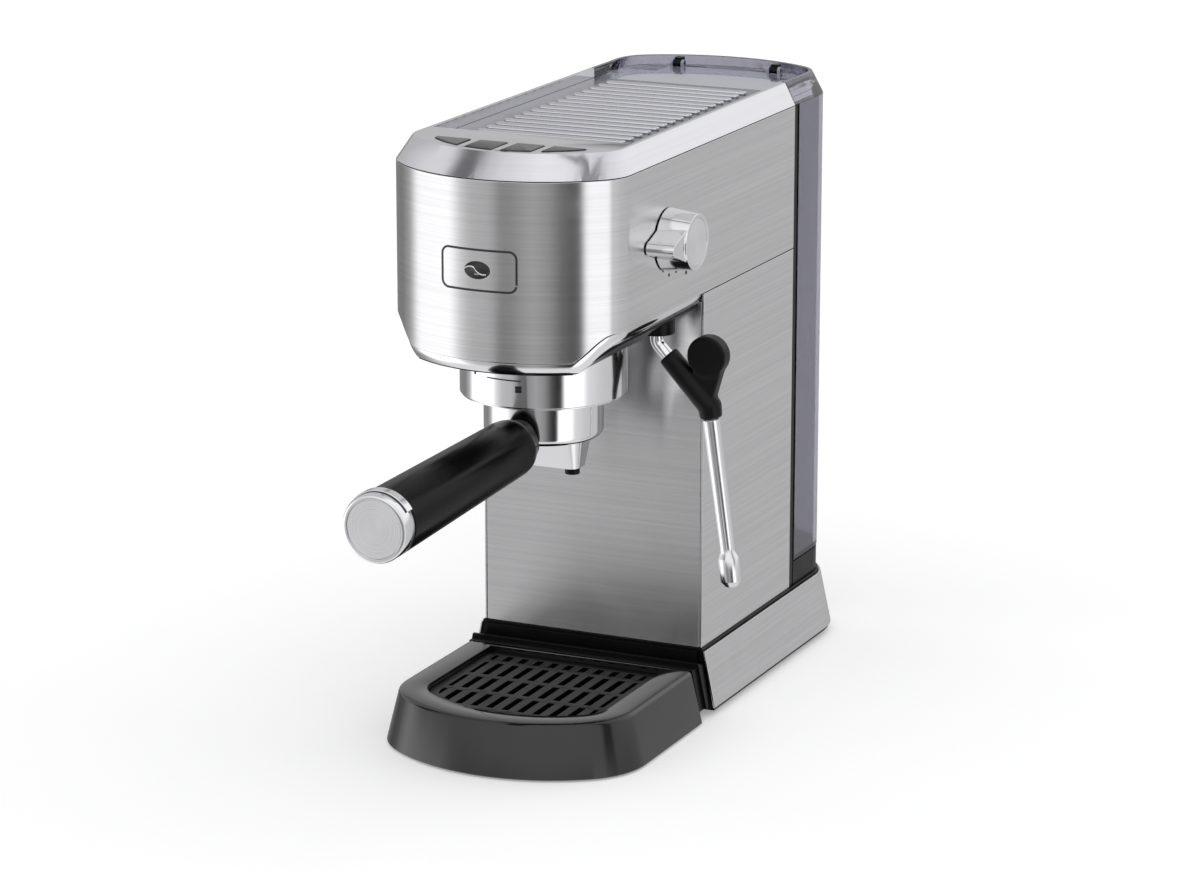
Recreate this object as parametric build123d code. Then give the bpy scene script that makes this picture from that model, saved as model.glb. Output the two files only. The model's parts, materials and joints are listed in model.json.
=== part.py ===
"""Slim espresso machine with a smoked tank, a bayonet portafilter and a swinging steam wand.

Millimetres, +Z up.  The origin is on the counter, straight below the brew axis.
The front faces -Y, and +X is the side with the steam knob.
"""
import os
from math import cos, hypot, radians, sin, sqrt

from build123d import *

# ---- driving dimensions: body plan -------------------------------------------------------------
HALF_WIDTH = 65.0          # half the width over the side panels
FRONT_Y = -75.5            # middle of the head's bowed front
REAR_Y = 260.0             # middle of the tank's bowed rear
FRONT_BOW = 80.0           # plan radius of the front
FRONT_CORNER = 24.0
REAR_BOW = 100.0
REAR_CORNER = 30.0
COLUMN_Y = 60.5            # flat front of the column
SEAM_Y = 185.4             # where the steel panels end
SHEET = 1.2                # steel sheet
GAP = 0.5                  # shut line between neighbouring covers
FIT = 0.3                  # clearance between a piece and the pocket that it sits in
RUN = 0.06                 # radial clearance of a running fit

# ---- driving dimensions: heights -----------------------------------------------------------------
PAN_Z = 3.0                # underside of the base pan
SKIRT_Z = 5.0              # lower edge of the steel skirt
BASE_TOP = 36.0            # upper edge of the steel skirt
DECK = 1.4                 # black deck that shows as a line above the skirt
HEAD_FRONT_Z = 220.0       # lower edge of the head at the front
HEAD_SIDE_Z = 233.7        # lower edge of the head along the sides
HEAD_FLAT = 43.5           # half width of the low part of that edge
HEAD_RISE = 62.0           # half width where the edge has risen to the side height
TOP_Z = 325.7              # top of the rim
RIM_H = 12.0               # height of the chamfered rim
RIM_Z = TOP_Z - RIM_H      # its lower edge
RIM_SIDE = 6.2             # how far the rim leans in at the sides
RIM_FRONT = 12.0           # how far it leans in at the front
RAIL = 2.3                 # flat top of the rim beside the cup recess
RECESS = 5.4               # depth of the cup recess
DECK_Y = -14.0             # rear edge of the key deck
DECK_T = 3.0               # thickness of the key deck
TRIM_H = 7.0               # height of the chrome trim under the head

# ---- driving dimensions: base and tray ----------------------------------------------------------
FLARE_TOP = 2.3            # how far the skirt stands outside the panels at its top
FLARE_FOOT = 8.7           # and at its foot
PAN_WALL = 2.5
FOOT_R = 8.0
FOOT_SINK = 1.5            # how far each foot sits up into the pan
TONGUE_HALF = 50.0         # the pan's tongue under the drip tray
TONGUE_Y = -35.0
TONGUE_T = 3.0
TRAY_FRONT = -76.5         # front of the tray's rim
TRAY_HALF = 66.5
TRAY_BOW = 88.0
TRAY_CORNER = 34.0
TRAY_REAR = 42.5
TRAY_TOP = 29.5
TRAY_FOOT = 1.2
TRAY_FLARE = 7.0
TRAY_WALL = 3.0
TRAY_RIM = 15.0            # width of the flat rim round the grid
TRAY_LEDGE = 3.0
TRAY_FLOOR = 7.0
GRID_T = 2.4
GRID_DROP = 3.0            # how far the grid sits below the rim
SLOT_W = 4.0
SLOT_PITCH = 9.0

# ---- driving dimensions: group and portafilter ------------------------------------------------------
CUP_R = 31.6               # portafilter body
CUP_BORE = CUP_R - 4.3
COLLAR_R = CUP_R + 12.4    # chrome bayonet collar round it
COLLAR_BORE = CUP_R + 5.4
COLLAR_TOP = 216.0
COLLAR_FOOT = 187.5
LIP_T = 3.0
CUP_FOOT = 164.6
CUP_TOP = 199.5
CUP_FLOOR = 6.4
LUG_R = CUP_R + 4.7
LUG_HALF = 18.0            # half the angle of a bayonet lug
LUG_Z = 191.2
LUG_T = 5.0
SLOT_HALF = 22.0           # half the angle of a bayonet slot
UNLOCK = 45.0              # turn from locked to free
BASKET_R = CUP_BORE - 1.3
BASKET_T = 0.6
BASKET_FLANGE = CUP_R - 0.6
BASKET_FLOOR = 176.0
SCREEN_R = BASKET_R - 1.6
SPOUT_X = 16.5             # half the distance between the two outlets
SPOUT_FOOT = 148.6
SPOUT_BORE = 3.0
HANDLE_R = 17.6            # at the end cap
HANDLE_ROOT_R = 15.6       # near the cup
HANDLE_SHOULDER = 9.0      # length of the rounded start of the grip
NECK_R = 12.4
NECK_SINK = 4.0            # how far the neck goes into the grip
STUD_R = 3.9               # stud through the grip that holds the end cap
HANDLE_ROOT = -CUP_R - 4.4  # where the grip starts
HANDLE_END = -192.1        # outer face of the end cap
HANDLE_Z = 166.3           # height of the handle's axis at the root
HANDLE_DROOP = 1.75        # degrees that the handle falls towards its end
CAP_L = 11.0
CAP_RING = 2.4             # width of the bright ring round the turned end face

# ---- driving dimensions: steam side --------------------------------------------------------------------
KNOB_Y = 12.1
KNOB_Z = 272.0
KNOB_R = 16.6
KNOB_FACE_R = 14.7
KNOB_L = 16.5
WING = 28.6                # reach of the pointer from the knob's axis
WING_H = 7.5
SPINDLE_R = 3.0
WAND_X = 49.0              # swivel of the steam wand
WAND_Y = 35.5
WAND_BALL_Z = 222.0
BALL_R = 6.5
TUBE_R = 3.6
ELBOW_X = 79.4             # where the wand turns down
ELBOW_Z = 179.6
TIP_X = 93.0
TIP_Z = 82.8
GRIP_R = 6.4
SLEEVE_TOP_R = 4.6
SLEEVE_R = 3.9
NOZZLE_R = 5.7
NOZZLE_L = 19.0
GRIP_TAIL = 6.5            # how far the grip reaches below the wand's bend
THUMB_X = 78.6             # round thumb rest on the grip
THUMB_Z = 206.6
THUMB_R = 10.9
THUMB_T = 9.0

# ---- driving dimensions: keys, tank and inner pieces -----------------------------------------------------
KEY_BOW = 58.0             # plan radius of the row of keys
KEY_FRONT = -58.7
KEY_BACK = -38.5
KEY_EDGES = [(-41.0, -22.5), (-17.0, -1.3), (4.0, 19.5), (24.5, 42.5)]
KEY_NAMES = ["key_power", "key_one_cup", "key_two_cups", "key_steam"]
KEY_PROUD = 0.5
KEY_TRAVEL = 1.5
RIBS = 17
RIB_PITCH = 10.7
RIB_W = 4.8
RIB_H = 1.7
RIB_HALF = 42.3
FIRST_RIB_Y = -1.0
PLATE_T = 2.0
BACK_T = 5.0               # black back wall between the machine and the tank
DOCK_TOP = 51.0
TANK_WALL = 2.2
TANK_Z = 52.0
LID_FLOOR = 2.0
HINGE_Y = 240.8            # lid hinge, just above the lid
HINGE_RISE = 1.6
HINGE_X = 29.6             # half the distance between the two hinge tabs
TAB_HALF = 2.2
KNUCKLE_GAP = 0.3          # between a tab and the lid's knuckles on each side of it
KNUCKLE_W = 1.6
PIN_R = 1.2
LID_TONGUE_HALF = 34.2     # half width of the lid's rear part, which swings clear of the curved rail
LID_TONGUE = 20.0          # how far that part reaches in front of the hinge
SHOULDER = 0.6             # gap in front of the fixed corners beside it
LID_BACK = 0.2             # gap between the lid's rear edge and its hinge axis
LEDGE = 2.0                # ledge that the lid rests on
VALVE_Y = 222.0
VALVE_R = 4.0
GLAND_Z = 20.0
GLAND_R = 7.5
CORD_R = 3.6
BIG = 600.0                # larger than the whole machine, for cutting tools


# ---- shared shapes ------------------------------------------------------------------------------------
def outline(half, front, rear, front_bow, front_corner, rear_bow, rear_corner):
    """A plan with straight sides, a bowed front, a bowed rear and rounded corners."""
    y_front = front + front_bow - sqrt(front_bow**2 - half**2)
    y_rear = rear - rear_bow + sqrt(rear_bow**2 - half**2)
    edges = [
        ThreePointArc((-half, y_front), (0, front), (half, y_front)),
        Line((half, y_front), (half, y_rear)),
        ThreePointArc((half, y_rear), (0, rear), (-half, y_rear)),
        Line((-half, y_rear), (-half, y_front)),
    ]
    face = Sketch() + make_face(Curve() + edges)
    middle = (y_front + y_rear) / 2
    face = fillet(face.vertices().filter_by(lambda v: v.Y < middle), front_corner)
    return fillet(face.vertices().filter_by(lambda v: abs(v.Y - y_rear) < 0.01), rear_corner)


def body_plan(out=0.0):
    """The machine's plan, moved outwards by `out`."""
    return outline(HALF_WIDTH + out, FRONT_Y - out, REAR_Y + out, FRONT_BOW + out,
                   FRONT_CORNER + out, REAR_BOW + out, REAR_CORNER + out)


def rim_plan(extra=0.0):
    """The plan of the rim's top, moved inwards by `extra`."""
    side = RIM_SIDE + extra
    front = RIM_FRONT + extra
    return outline(HALF_WIDTH - side, FRONT_Y + front, REAR_Y - side, FRONT_BOW - side,
                   FRONT_CORNER - side, REAR_BOW - side, REAR_CORNER - side)


def tray_plan(out=0.0, flare=0.0):
    """The tray's plan, moved outwards; its rear half is cut off later."""
    grow = out + flare
    return outline(TRAY_HALF + grow, TRAY_FRONT - grow, REAR_Y, TRAY_BOW + grow,
                   TRAY_CORNER + grow, REAR_BOW, REAR_CORNER)


def prism(face, low, high):
    """A plan raised from one height to another."""
    return extrude(Pos(0, 0, low) * face, high - low)


def taper(low_face, low, high_face, high):
    """A straight-sided body between two plans."""
    return loft([Pos(0, 0, low) * low_face, Pos(0, 0, high) * high_face], ruled=True)


def block(x0, x1, y0, y1, z0, z1):
    """A box between two corners."""
    return Pos((x0 + x1) / 2, (y0 + y1) / 2, (z0 + z1) / 2) * Box(x1 - x0, y1 - y0, z1 - z0)


def behind(y):
    """Everything behind a plane across the machine."""
    return block(-BIG, BIG, y, BIG, -BIG, BIG)


def before(y):
    """Everything in front of a plane across the machine."""
    return block(-BIG, BIG, -BIG, y, -BIG, BIG)


def tube(outer, inner, low, high, x=0.0, y=0.0):
    """An upright tube."""
    return Pos(x, y, (low + high) / 2) * (Cylinder(outer, high - low) - Cylinder(inner, high - low))


def rod(radius, low, high, x=0.0, y=0.0):
    """An upright rod."""
    return Pos(x, y, (low + high) / 2) * Cylinder(radius, high - low)


def rod_x(radius, x0, x1, y, z):
    """A rod along X."""
    return Pos((x0 + x1) / 2, y, z) * Rot(0, 90, 0) * Cylinder(radius, x1 - x0)


def rod_y(radius, y0, y1, x, z):
    """A rod along Y."""
    return Pos(x, (y0 + y1) / 2, z) * Rot(90, 0, 0) * Cylinder(radius, y1 - y0)


def wedge(radius, half_angle, direction, low, high):
    """An upright sector of a disc, centred on a direction in degrees."""
    first = radians(direction - half_angle)
    last = radians(direction + half_angle)
    middle = radians(direction)
    start = (radius * cos(first), radius * sin(first))
    end = (radius * cos(last), radius * sin(last))
    edges = [
        Line((0, 0), start),
        ThreePointArc(start, (radius * cos(middle), radius * sin(middle)), end),
        Line(end, (0, 0)),
    ]
    return prism(Sketch() + make_face(Curve() + edges), low, high)


def below_head_edge(drop=0.0):
    """Everything under the head's lower edge, which is low at the front and rises to the sides."""
    low = HEAD_FRONT_Z - drop
    high = HEAD_SIDE_Z - drop
    points = [(-BIG, -BIG), (-BIG, high), (-HEAD_RISE, high), (-HEAD_FLAT, low),
              (HEAD_FLAT, low), (HEAD_RISE, high), (BIG, high), (BIG, -BIG)]
    face = Plane.XZ * (Sketch() + make_face(Polyline(points, close=True)))
    return extrude(face, BIG, both=True)


def along(start, end, radius, radius_end=None):
    """A round bar, straight or tapered, between two points in space."""
    radius_end = radius if radius_end is None else radius_end
    way = Vector(*end) - Vector(*start)
    plane = Plane(origin=start, z_dir=way)
    if abs(radius - radius_end) < 1e-6:
        return extrude(plane * Circle(radius), way.length)
    top = Plane(origin=end, x_dir=plane.x_dir, z_dir=way)
    return loft([plane * Circle(radius), top * Circle(radius_end)])


def pipe(points, bend, radius):
    """A round tube along straight runs joined by arcs."""
    path = FilletPolyline(*points, radius=bend)
    return sweep(Plane(origin=points[0], z_dir=path % 0) * Circle(radius), path)


def save(name, shape):
    """Write one node."""
    export_step(shape, f"parts/{name}.step")


PUMP_Y = COLUMN_Y + 46
PUMP_Z = 95.0


# ---- base -----------------------------------------------------------------------------------------------
def flare_at(z):
    """How far the skirt's outer face stands outside the panels at a height."""
    share = (z - SKIRT_Z) / (BASE_TOP - SKIRT_Z)
    return FLARE_FOOT + (FLARE_TOP - FLARE_FOOT) * share


def flared(low, high, inward):
    """The skirt's cone between two heights, moved inwards."""
    return taper(body_plan(flare_at(low) - inward), low, body_plan(flare_at(high) - inward), high)


FOOT_PLACES = [(-50, COLUMN_Y + 22), (50, COLUMN_Y + 22), (-42, REAR_Y - 38), (42, REAR_Y - 38)]
FRONT_FEET = [(-TONGUE_HALF + 14, TONGUE_Y + 16), (TONGUE_HALF - 14, TONGUE_Y + 16)]
PILLARS = [(x, y) for x in (-46, 46) for y in (COLUMN_Y + 50, REAR_Y - 70)]


def make_base():
    """Pan, skirt, front moulding, deck, feet, screws and the cord gland."""
    pan_inner = SHEET + FIT
    pan_back = behind(COLUMN_Y)
    pan = flared(SKIRT_Z, BASE_TOP - FIT, pan_inner) & pan_back
    pan += prism(body_plan(FLARE_FOOT - SHEET), PAN_Z, SKIRT_Z) & pan_back
    room = flared(SKIRT_Z + PAN_WALL, BASE_TOP, pan_inner + PAN_WALL) & behind(COLUMN_Y + PAN_WALL)
    pan -= room
    tongue = block(-TONGUE_HALF, TONGUE_HALF, TONGUE_Y, COLUMN_Y + PAN_WALL, PAN_Z, PAN_Z + TONGUE_T)
    pan += tongue
    for x, y in FOOT_PLACES + FRONT_FEET:
        pan -= rod(FOOT_R + FIT, PAN_Z, PAN_Z + FOOT_SINK, x, y)
    for x, y in PILLARS:
        pan += rod(5.0, SKIRT_Z + 1, BASE_TOP - FIT, x, y)
        pan -= rod(1.6, 0, BASE_TOP, x, y)
        pan -= rod(3.4, 0, PAN_Z + 2.2, x, y)
    gland_hole = rod_y(GLAND_R + FIT, REAR_Y - 12, REAR_Y + 20, 0, GLAND_Z)
    pan -= gland_hole
    save("base_pan", pan)

    skirt = flared(SKIRT_Z, BASE_TOP, 0) - flared(SKIRT_Z, BASE_TOP, SHEET)
    skirt = (skirt & behind(COLUMN_Y - 1.0)) - gland_hole
    save("base_skirt", skirt)

    front_y = TRAY_REAR + 1.5
    bezel = flared(PAN_Z + TONGUE_T + 1, TRAY_TOP, 2.0) & before(COLUMN_Y - 2.5) & behind(front_y)
    bezel -= flared(PAN_Z, TRAY_TOP - 3, 5.0) & before(COLUMN_Y) & behind(front_y + 3)
    lip = flared(PAN_Z + TONGUE_T + 1, TRAY_TOP + 2, 0.6) & behind(front_y + 6) & before(front_y + 8)
    lip -= block(-HALF_WIDTH + 6, HALF_WIDTH - 6, 0, BIG, 0, TRAY_TOP - 3)
    bezel += lip
    bezel += block(-HALF_WIDTH + 2, HALF_WIDTH - 2, COLUMN_Y - 2.8, COLUMN_Y - 0.6,
                   TRAY_TOP - 3, BASE_TOP)
    save("base_front", bezel)

    deck = prism(body_plan(FLARE_TOP - 1.5), BASE_TOP, BASE_TOP + DECK) & behind(COLUMN_Y - 1.0)
    deck -= block(-40, 40, COLUMN_Y + 24, COLUMN_Y + 104, 0, BIG)
    for x, y in PILLARS:
        deck -= rod(1.6, 0, BIG, x, y)
    deck -= rod(7, 0, BIG, 0, VALVE_Y)
    cradle = block(-30, 30, PUMP_Y - 16, PUMP_Y + 16, PUMP_Z - 34, PUMP_Z - 30.1)
    for side in (-1, 1):
        edges = sorted((side * 43, side * 27))
        cradle += block(edges[0], edges[1], PUMP_Y - 16, PUMP_Y + 16, BASE_TOP, BASE_TOP + 3)
        edges = sorted((side * 30, side * 27))
        cradle += block(edges[0], edges[1], PUMP_Y - 16, PUMP_Y + 16, BASE_TOP, PUMP_Z - 31)
    cradle -= rod(8.4, 0, BIG, 0, PUMP_Y)
    save("base_deck", deck + cradle)

    feet = [rod(FOOT_R, 0, PAN_Z + FOOT_SINK - 0.05, x, y) for x, y in FOOT_PLACES + FRONT_FEET]
    save("rubber_feet", Compound(children=feet))

    screws = [rod(1.3, PAN_Z + 1, BASE_TOP + DECK - 0.2, x, y)
              + rod(3.0, PAN_Z + 0.2, PAN_Z + 2.0, x, y) for x, y in PILLARS]
    save("base_screws", Compound(children=screws))

    gland_y = REAR_Y + flare_at(GLAND_Z)
    gland = rod_y(GLAND_R, gland_y - 12, gland_y + 4.4, 0, GLAND_Z)
    gland += rod_y(GLAND_R + 2.2, gland_y + 2.2, gland_y + 4.4, 0, GLAND_Z)
    gland -= rod_y(CORD_R, gland_y - 14, gland_y + 6, 0, GLAND_Z)
    save("cord_gland", gland)


# ---- column, head and top ---------------------------------------------------------------------------------
COLUMN_FOOT = BASE_TOP + DECK + 0.1
SHELF_Z = HEAD_SIDE_Z - 4.7
SHELF_T = 2.0
BACK_Y = SEAM_Y + 0.4
FLOOR_LOW = TRIM_H
FLOOR_T = 2.0


def make_column():
    """Front sheet, two side sheets, the black back wall and the welded inner frame."""
    front = block(-HALF_WIDTH + SHEET + FIT, HALF_WIDTH - SHEET - FIT, COLUMN_Y, COLUMN_Y + SHEET,
                  COLUMN_FOOT, SHELF_Z - 0.2)
    save("column_front", front)
    for name, side in (("column_side_left", -1), ("column_side_right", 1)):
        edges = sorted((side * HALF_WIDTH, side * (HALF_WIDTH - SHEET)))
        sheet = block(edges[0], edges[1], COLUMN_Y, SEAM_Y, COLUMN_FOOT, HEAD_SIDE_Z - GAP)
        save(name, sheet)
    back = block(-HALF_WIDTH + 0.4, HALF_WIDTH - 0.4, BACK_Y, BACK_Y + BACK_T,
                 COLUMN_FOOT, RIM_Z - GAP)
    back -= block(-24, 24, 0, BIG, DOCK_TOP + 60, DOCK_TOP + 70)
    save("back_wall", back)
    frame = block(-HALF_WIDTH + 4, HALF_WIDTH - 4, COLUMN_Y + SHEET + 0.2, COLUMN_Y + 8,
                  COLUMN_FOOT, SHELF_Z + SHELF_T)
    frame -= block(-HALF_WIDTH + 14, HALF_WIDTH - 14, 0, BIG, COLUMN_FOOT + 12, SHELF_Z - 12)
    shelf = block(-HALF_WIDTH + SHEET + FIT, HALF_WIDTH - SHEET - FIT, COLUMN_Y + SHEET + 0.2,
                  BACK_Y - 0.2, SHELF_Z, SHELF_Z + SHELF_T)
    shelf += prism(body_plan(-4.5), SHELF_Z, SHELF_Z + SHELF_T) & behind(-30) & before(COLUMN_Y + 4)
    shelf -= rod(12, 0, BIG)
    shelf -= rod(6, 0, BIG, WAND_X, WAND_Y)
    shelf -= block(-20, 20, COLUMN_Y + 40, COLUMN_Y + 100, 0, BIG)
    save("inner_frame", frame + shelf)


def make_head():
    """Wrap-round head shell, badge, lower trim and floor."""
    shell = prism(body_plan(), HEAD_FRONT_Z - 10, RIM_Z - GAP)
    shell -= prism(body_plan(-SHEET), 0, BIG)
    shell = (shell & before(SEAM_Y)) - below_head_edge()
    shell -= rod_x(SPINDLE_R + 2, HALF_WIDTH - 5, HALF_WIDTH + 5, KNOB_Y, KNOB_Z)
    save("head_shell", shell)

    badge_face = Plane.XZ * (Pos(-1, 267) * RectangleRounded(43, 22, 4.5))
    badge = extrude(badge_face, -FRONT_Y + 20)
    badge &= prism(body_plan(0.8), 200, 320) - prism(body_plan(0.02), 190, 330)
    save("badge", badge)

    trim = prism(body_plan(-1.5), HEAD_FRONT_Z - 20, HEAD_SIDE_Z) - prism(body_plan(-4.0), 0, BIG)
    trim = (trim & before(COLUMN_Y - 0.5)) & (below_head_edge(0.4) - below_head_edge(TRIM_H))
    save("head_trim", trim)

    floor = prism(body_plan(-4.3), HEAD_FRONT_Z - 20, HEAD_SIDE_Z)
    floor = (floor & before(COLUMN_Y - 0.5))
    floor &= below_head_edge(FLOOR_LOW - FLOOR_T) - below_head_edge(FLOOR_LOW)
    floor -= rod(COLLAR_R + 1.0, 0, BIG)
    floor -= rod(BALL_R + 3.6, 0, BIG, WAND_X, WAND_Y)
    save("head_floor", floor)


def key_face(x0, x1, grow=0.0):
    """One key's plan: straight sides and back, bowed front."""
    disc = Pos(0, KEY_FRONT + KEY_BOW) * Circle(KEY_BOW + grow)
    width = x1 - x0 + 2 * grow
    depth = KEY_BACK - KEY_FRONT + 2 * grow
    box = Pos((x0 + x1) / 2, (KEY_BACK + KEY_FRONT) / 2) * Rectangle(width, depth)
    return Sketch() + (box & disc)


def rim_body():
    """The whole chamfered rim, front and rear, as one body."""
    return taper(body_plan(), RIM_Z, rim_plan(), TOP_Z)


def recess_body(low, high, extra=0.0):
    """The cup recess between two heights."""
    return prism(rim_plan(RAIL + extra), low, high) & behind(DECK_Y)


def make_top():
    """Chrome rim with its key deck, ribbed cup plate, keys, and the board with their switches."""
    rim = rim_body() & before(SEAM_Y)
    rim -= recess_body(RIM_Z - 5, TOP_Z + 5)
    rim -= prism(rim_plan(RAIL), RIM_Z - 5, TOP_Z - DECK_T)
    for x0, x1 in KEY_EDGES:
        rim -= prism(key_face(x0, x1, GAP), RIM_Z, TOP_Z + 5)
    save("top_rim", rim)

    floor_z = TOP_Z - RECESS
    plate = recess_body(floor_z - PLATE_T, floor_z, FIT) & before(SEAM_Y)
    for i in range(RIBS):
        y = FIRST_RIB_Y + i * RIB_PITCH
        plate += block(-RIB_HALF, RIB_HALF, y - RIB_W / 2, y + RIB_W / 2, floor_z - 0.5, floor_z + RIB_H)
    save("cup_plate", plate)

    board_top = RIM_Z - 1.0
    switch_top = TOP_Z - DECK_T - 2.0 - KEY_TRAVEL - FIT - 3.0
    board = block(-50, 50, KEY_FRONT + 4, KEY_BACK + 10, board_top - 1.6, board_top)
    for name, (x0, x1) in zip(KEY_NAMES, KEY_EDGES):
        middle = (x0 + x1) / 2
        under_deck = TOP_Z - DECK_T - FIT
        key = prism(key_face(x0, x1), under_deck - 1, TOP_Z + KEY_PROUD)
        key += prism(key_face(x0, x1, 1.4), under_deck - 2.0, under_deck)
        key += block(middle - 3, middle + 3, -49, -43, switch_top + KEY_TRAVEL + FIT, under_deck - 1)
        save(name, key)
        board += block(middle - 3, middle + 3, -49, -43, board_top - 0.1, switch_top)
    save("control_board", board)


# ---- tank ---------------------------------------------------------------------------------------------------
TANK_FRONT = BACK_Y + BACK_T + 0.6


def make_tank():
    """Dock with its spigot, smoked tank and rim, hinged lid, tabs, outlet valve, cage and spring."""
    dock = (prism(body_plan(-0.3), BASE_TOP + DECK + 0.1, DOCK_TOP)
            & behind(TANK_FRONT)) - (prism(body_plan(-3.3), 0, DOCK_TOP - 3) & behind(TANK_FRONT + 3))
    dock -= rod(VALVE_R + 2.2, 0, BIG, 0, VALVE_Y)
    socket = tube(VALVE_R + 3.0, 2.2, DOCK_TOP - 9, DOCK_TOP - 0.5, 0, VALVE_Y)
    socket += rod(1.0, DOCK_TOP - 9, DOCK_TOP + 0.4, 0, VALVE_Y)
    socket += block(-2.6, 2.6, VALVE_Y - 0.6, VALVE_Y + 0.6, DOCK_TOP - 9, DOCK_TOP - 6)
    save("tank_dock", dock + socket)

    tank = (prism(body_plan(), TANK_Z, RIM_Z - 0.05) & behind(TANK_FRONT))
    tank -= prism(body_plan(-TANK_WALL), TANK_Z + TANK_WALL, BIG) & behind(TANK_FRONT + TANK_WALL)
    tank -= rod(VALVE_R + 0.5, 0, BIG, 0, VALVE_Y)
    save("water_tank", tank)

    floor_z = TOP_Z - RECESS
    lid_z = floor_z - LID_FLOOR
    axis_z = floor_z + HINGE_RISE
    rim = rim_body() & behind(SEAM_Y + 0.6)
    rim -= recess_body(floor_z, TOP_Z + 5)
    corners = block(-BIG, BIG, HINGE_Y - LID_TONGUE + SHOULDER, BIG, 0, BIG)
    corners -= block(-LID_TONGUE_HALF - FIT, LID_TONGUE_HALF + FIT, 0, BIG, 0, BIG)
    pocket = recess_body(lid_z - FIT, floor_z + 1) & before(HINGE_Y)
    pocket += recess_body(RIM_Z - 5, lid_z, LEDGE) & before(HINGE_Y)
    rim -= pocket - corners
    rim -= prism(rim_plan(RAIL - 2), RIM_Z - 5, lid_z - 1) & behind(HINGE_Y - 1)
    lid_sweep = hypot(HINGE_RISE + LID_FLOOR, LID_BACK) + FIT
    rim -= rod_x(lid_sweep, -LID_TONGUE_HALF - FIT, LID_TONGUE_HALF + FIT, HINGE_Y, axis_z)
    save("tank_rim", rim)

    lid = recess_body(lid_z, floor_z, FIT) & behind(SEAM_Y + 0.6) & before(HINGE_Y - LID_BACK)
    lid_plan = block(-BIG, BIG, 0, HINGE_Y - LID_TONGUE, 0, BIG)
    lid_plan += block(-LID_TONGUE_HALF, LID_TONGUE_HALF, 0, BIG, 0, BIG)
    lid &= lid_plan
    tabs = []
    knuckle_far = TAB_HALF + KNUCKLE_GAP + KNUCKLE_W
    for x in (-HINGE_X, HINGE_X):
        lid -= block(x - TAB_HALF - KNUCKLE_GAP, x + TAB_HALF + KNUCKLE_GAP, HINGE_Y - 4.5, BIG, 0, BIG)
        for side in (-1, 1):
            edges = sorted((x + side * (TAB_HALF + KNUCKLE_GAP), x + side * knuckle_far))
            lid += rod_x(PIN_R + 1.0, edges[0], edges[1], HINGE_Y, axis_z)
            lid += block(edges[0], edges[1], HINGE_Y - 2.2, HINGE_Y - 0.2, floor_z - 1, axis_z)
        wall_y = REAR_Y - RIM_SIDE - RAIL - (REAR_BOW - sqrt(REAR_BOW**2 - (HINGE_X + TAB_HALF)**2))
        lid -= rod_x(PIN_R + RUN, x - knuckle_far - 1, x + knuckle_far + 1, HINGE_Y, axis_z)
        tab = block(x - TAB_HALF, x + TAB_HALF, HINGE_Y, wall_y - 1.0, floor_z + 0.05, TOP_Z - 0.6)
        tab += rod_x(PIN_R + 1.0, x - TAB_HALF, x + TAB_HALF, HINGE_Y, axis_z) & behind(HINGE_Y - 4)
        tab &= block(-BIG, BIG, -BIG, BIG, floor_z + 0.05, BIG)
        tab += rod_x(PIN_R, x - knuckle_far + 0.2, x + knuckle_far - 0.2, HINGE_Y, axis_z)
        tabs.append(tab)
    save("tank_lid", lid)
    save("lid_tabs", Compound(children=tabs))

    valve = rod(VALVE_R, TANK_Z + 0.6, TANK_Z + 3.4, 0, VALVE_Y)
    valve += rod(VALVE_R + 3, TANK_Z + TANK_WALL + 0.1, TANK_Z + TANK_WALL + 3.0, 0, VALVE_Y)
    valve += rod(1.6, TANK_Z + 3, TANK_Z + 16, 0, VALVE_Y)
    save("tank_valve", valve)
    cage = tube(VALVE_R + 5.2, VALVE_R + 3.8, TANK_Z + TANK_WALL + 0.05, TANK_Z + 22, 0, VALVE_Y)
    cage += tube(VALVE_R + 4.5, 2.0, TANK_Z + 20, TANK_Z + 22, 0, VALVE_Y)
    for turn in range(4):
        cut = Pos(0, VALVE_Y, TANK_Z + 10) * Rot(0, 0, 45 + 90 * turn) * Pos(8, 0, 0) * Box(8, 5, 12)
        cage -= cut
    save("valve_cage", cage)
    spring = tube(3.4, 2.4, TANK_Z + TANK_WALL + 3.1, TANK_Z + 19.9, 0, VALVE_Y)
    save("valve_spring", spring)


# ---- group and portafilter --------------------------------------------------------------------------------------
GROUP_TOP = SHELF_Z - 0.1
GASKET_Z = CUP_TOP + 1.5 + 0.3


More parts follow.
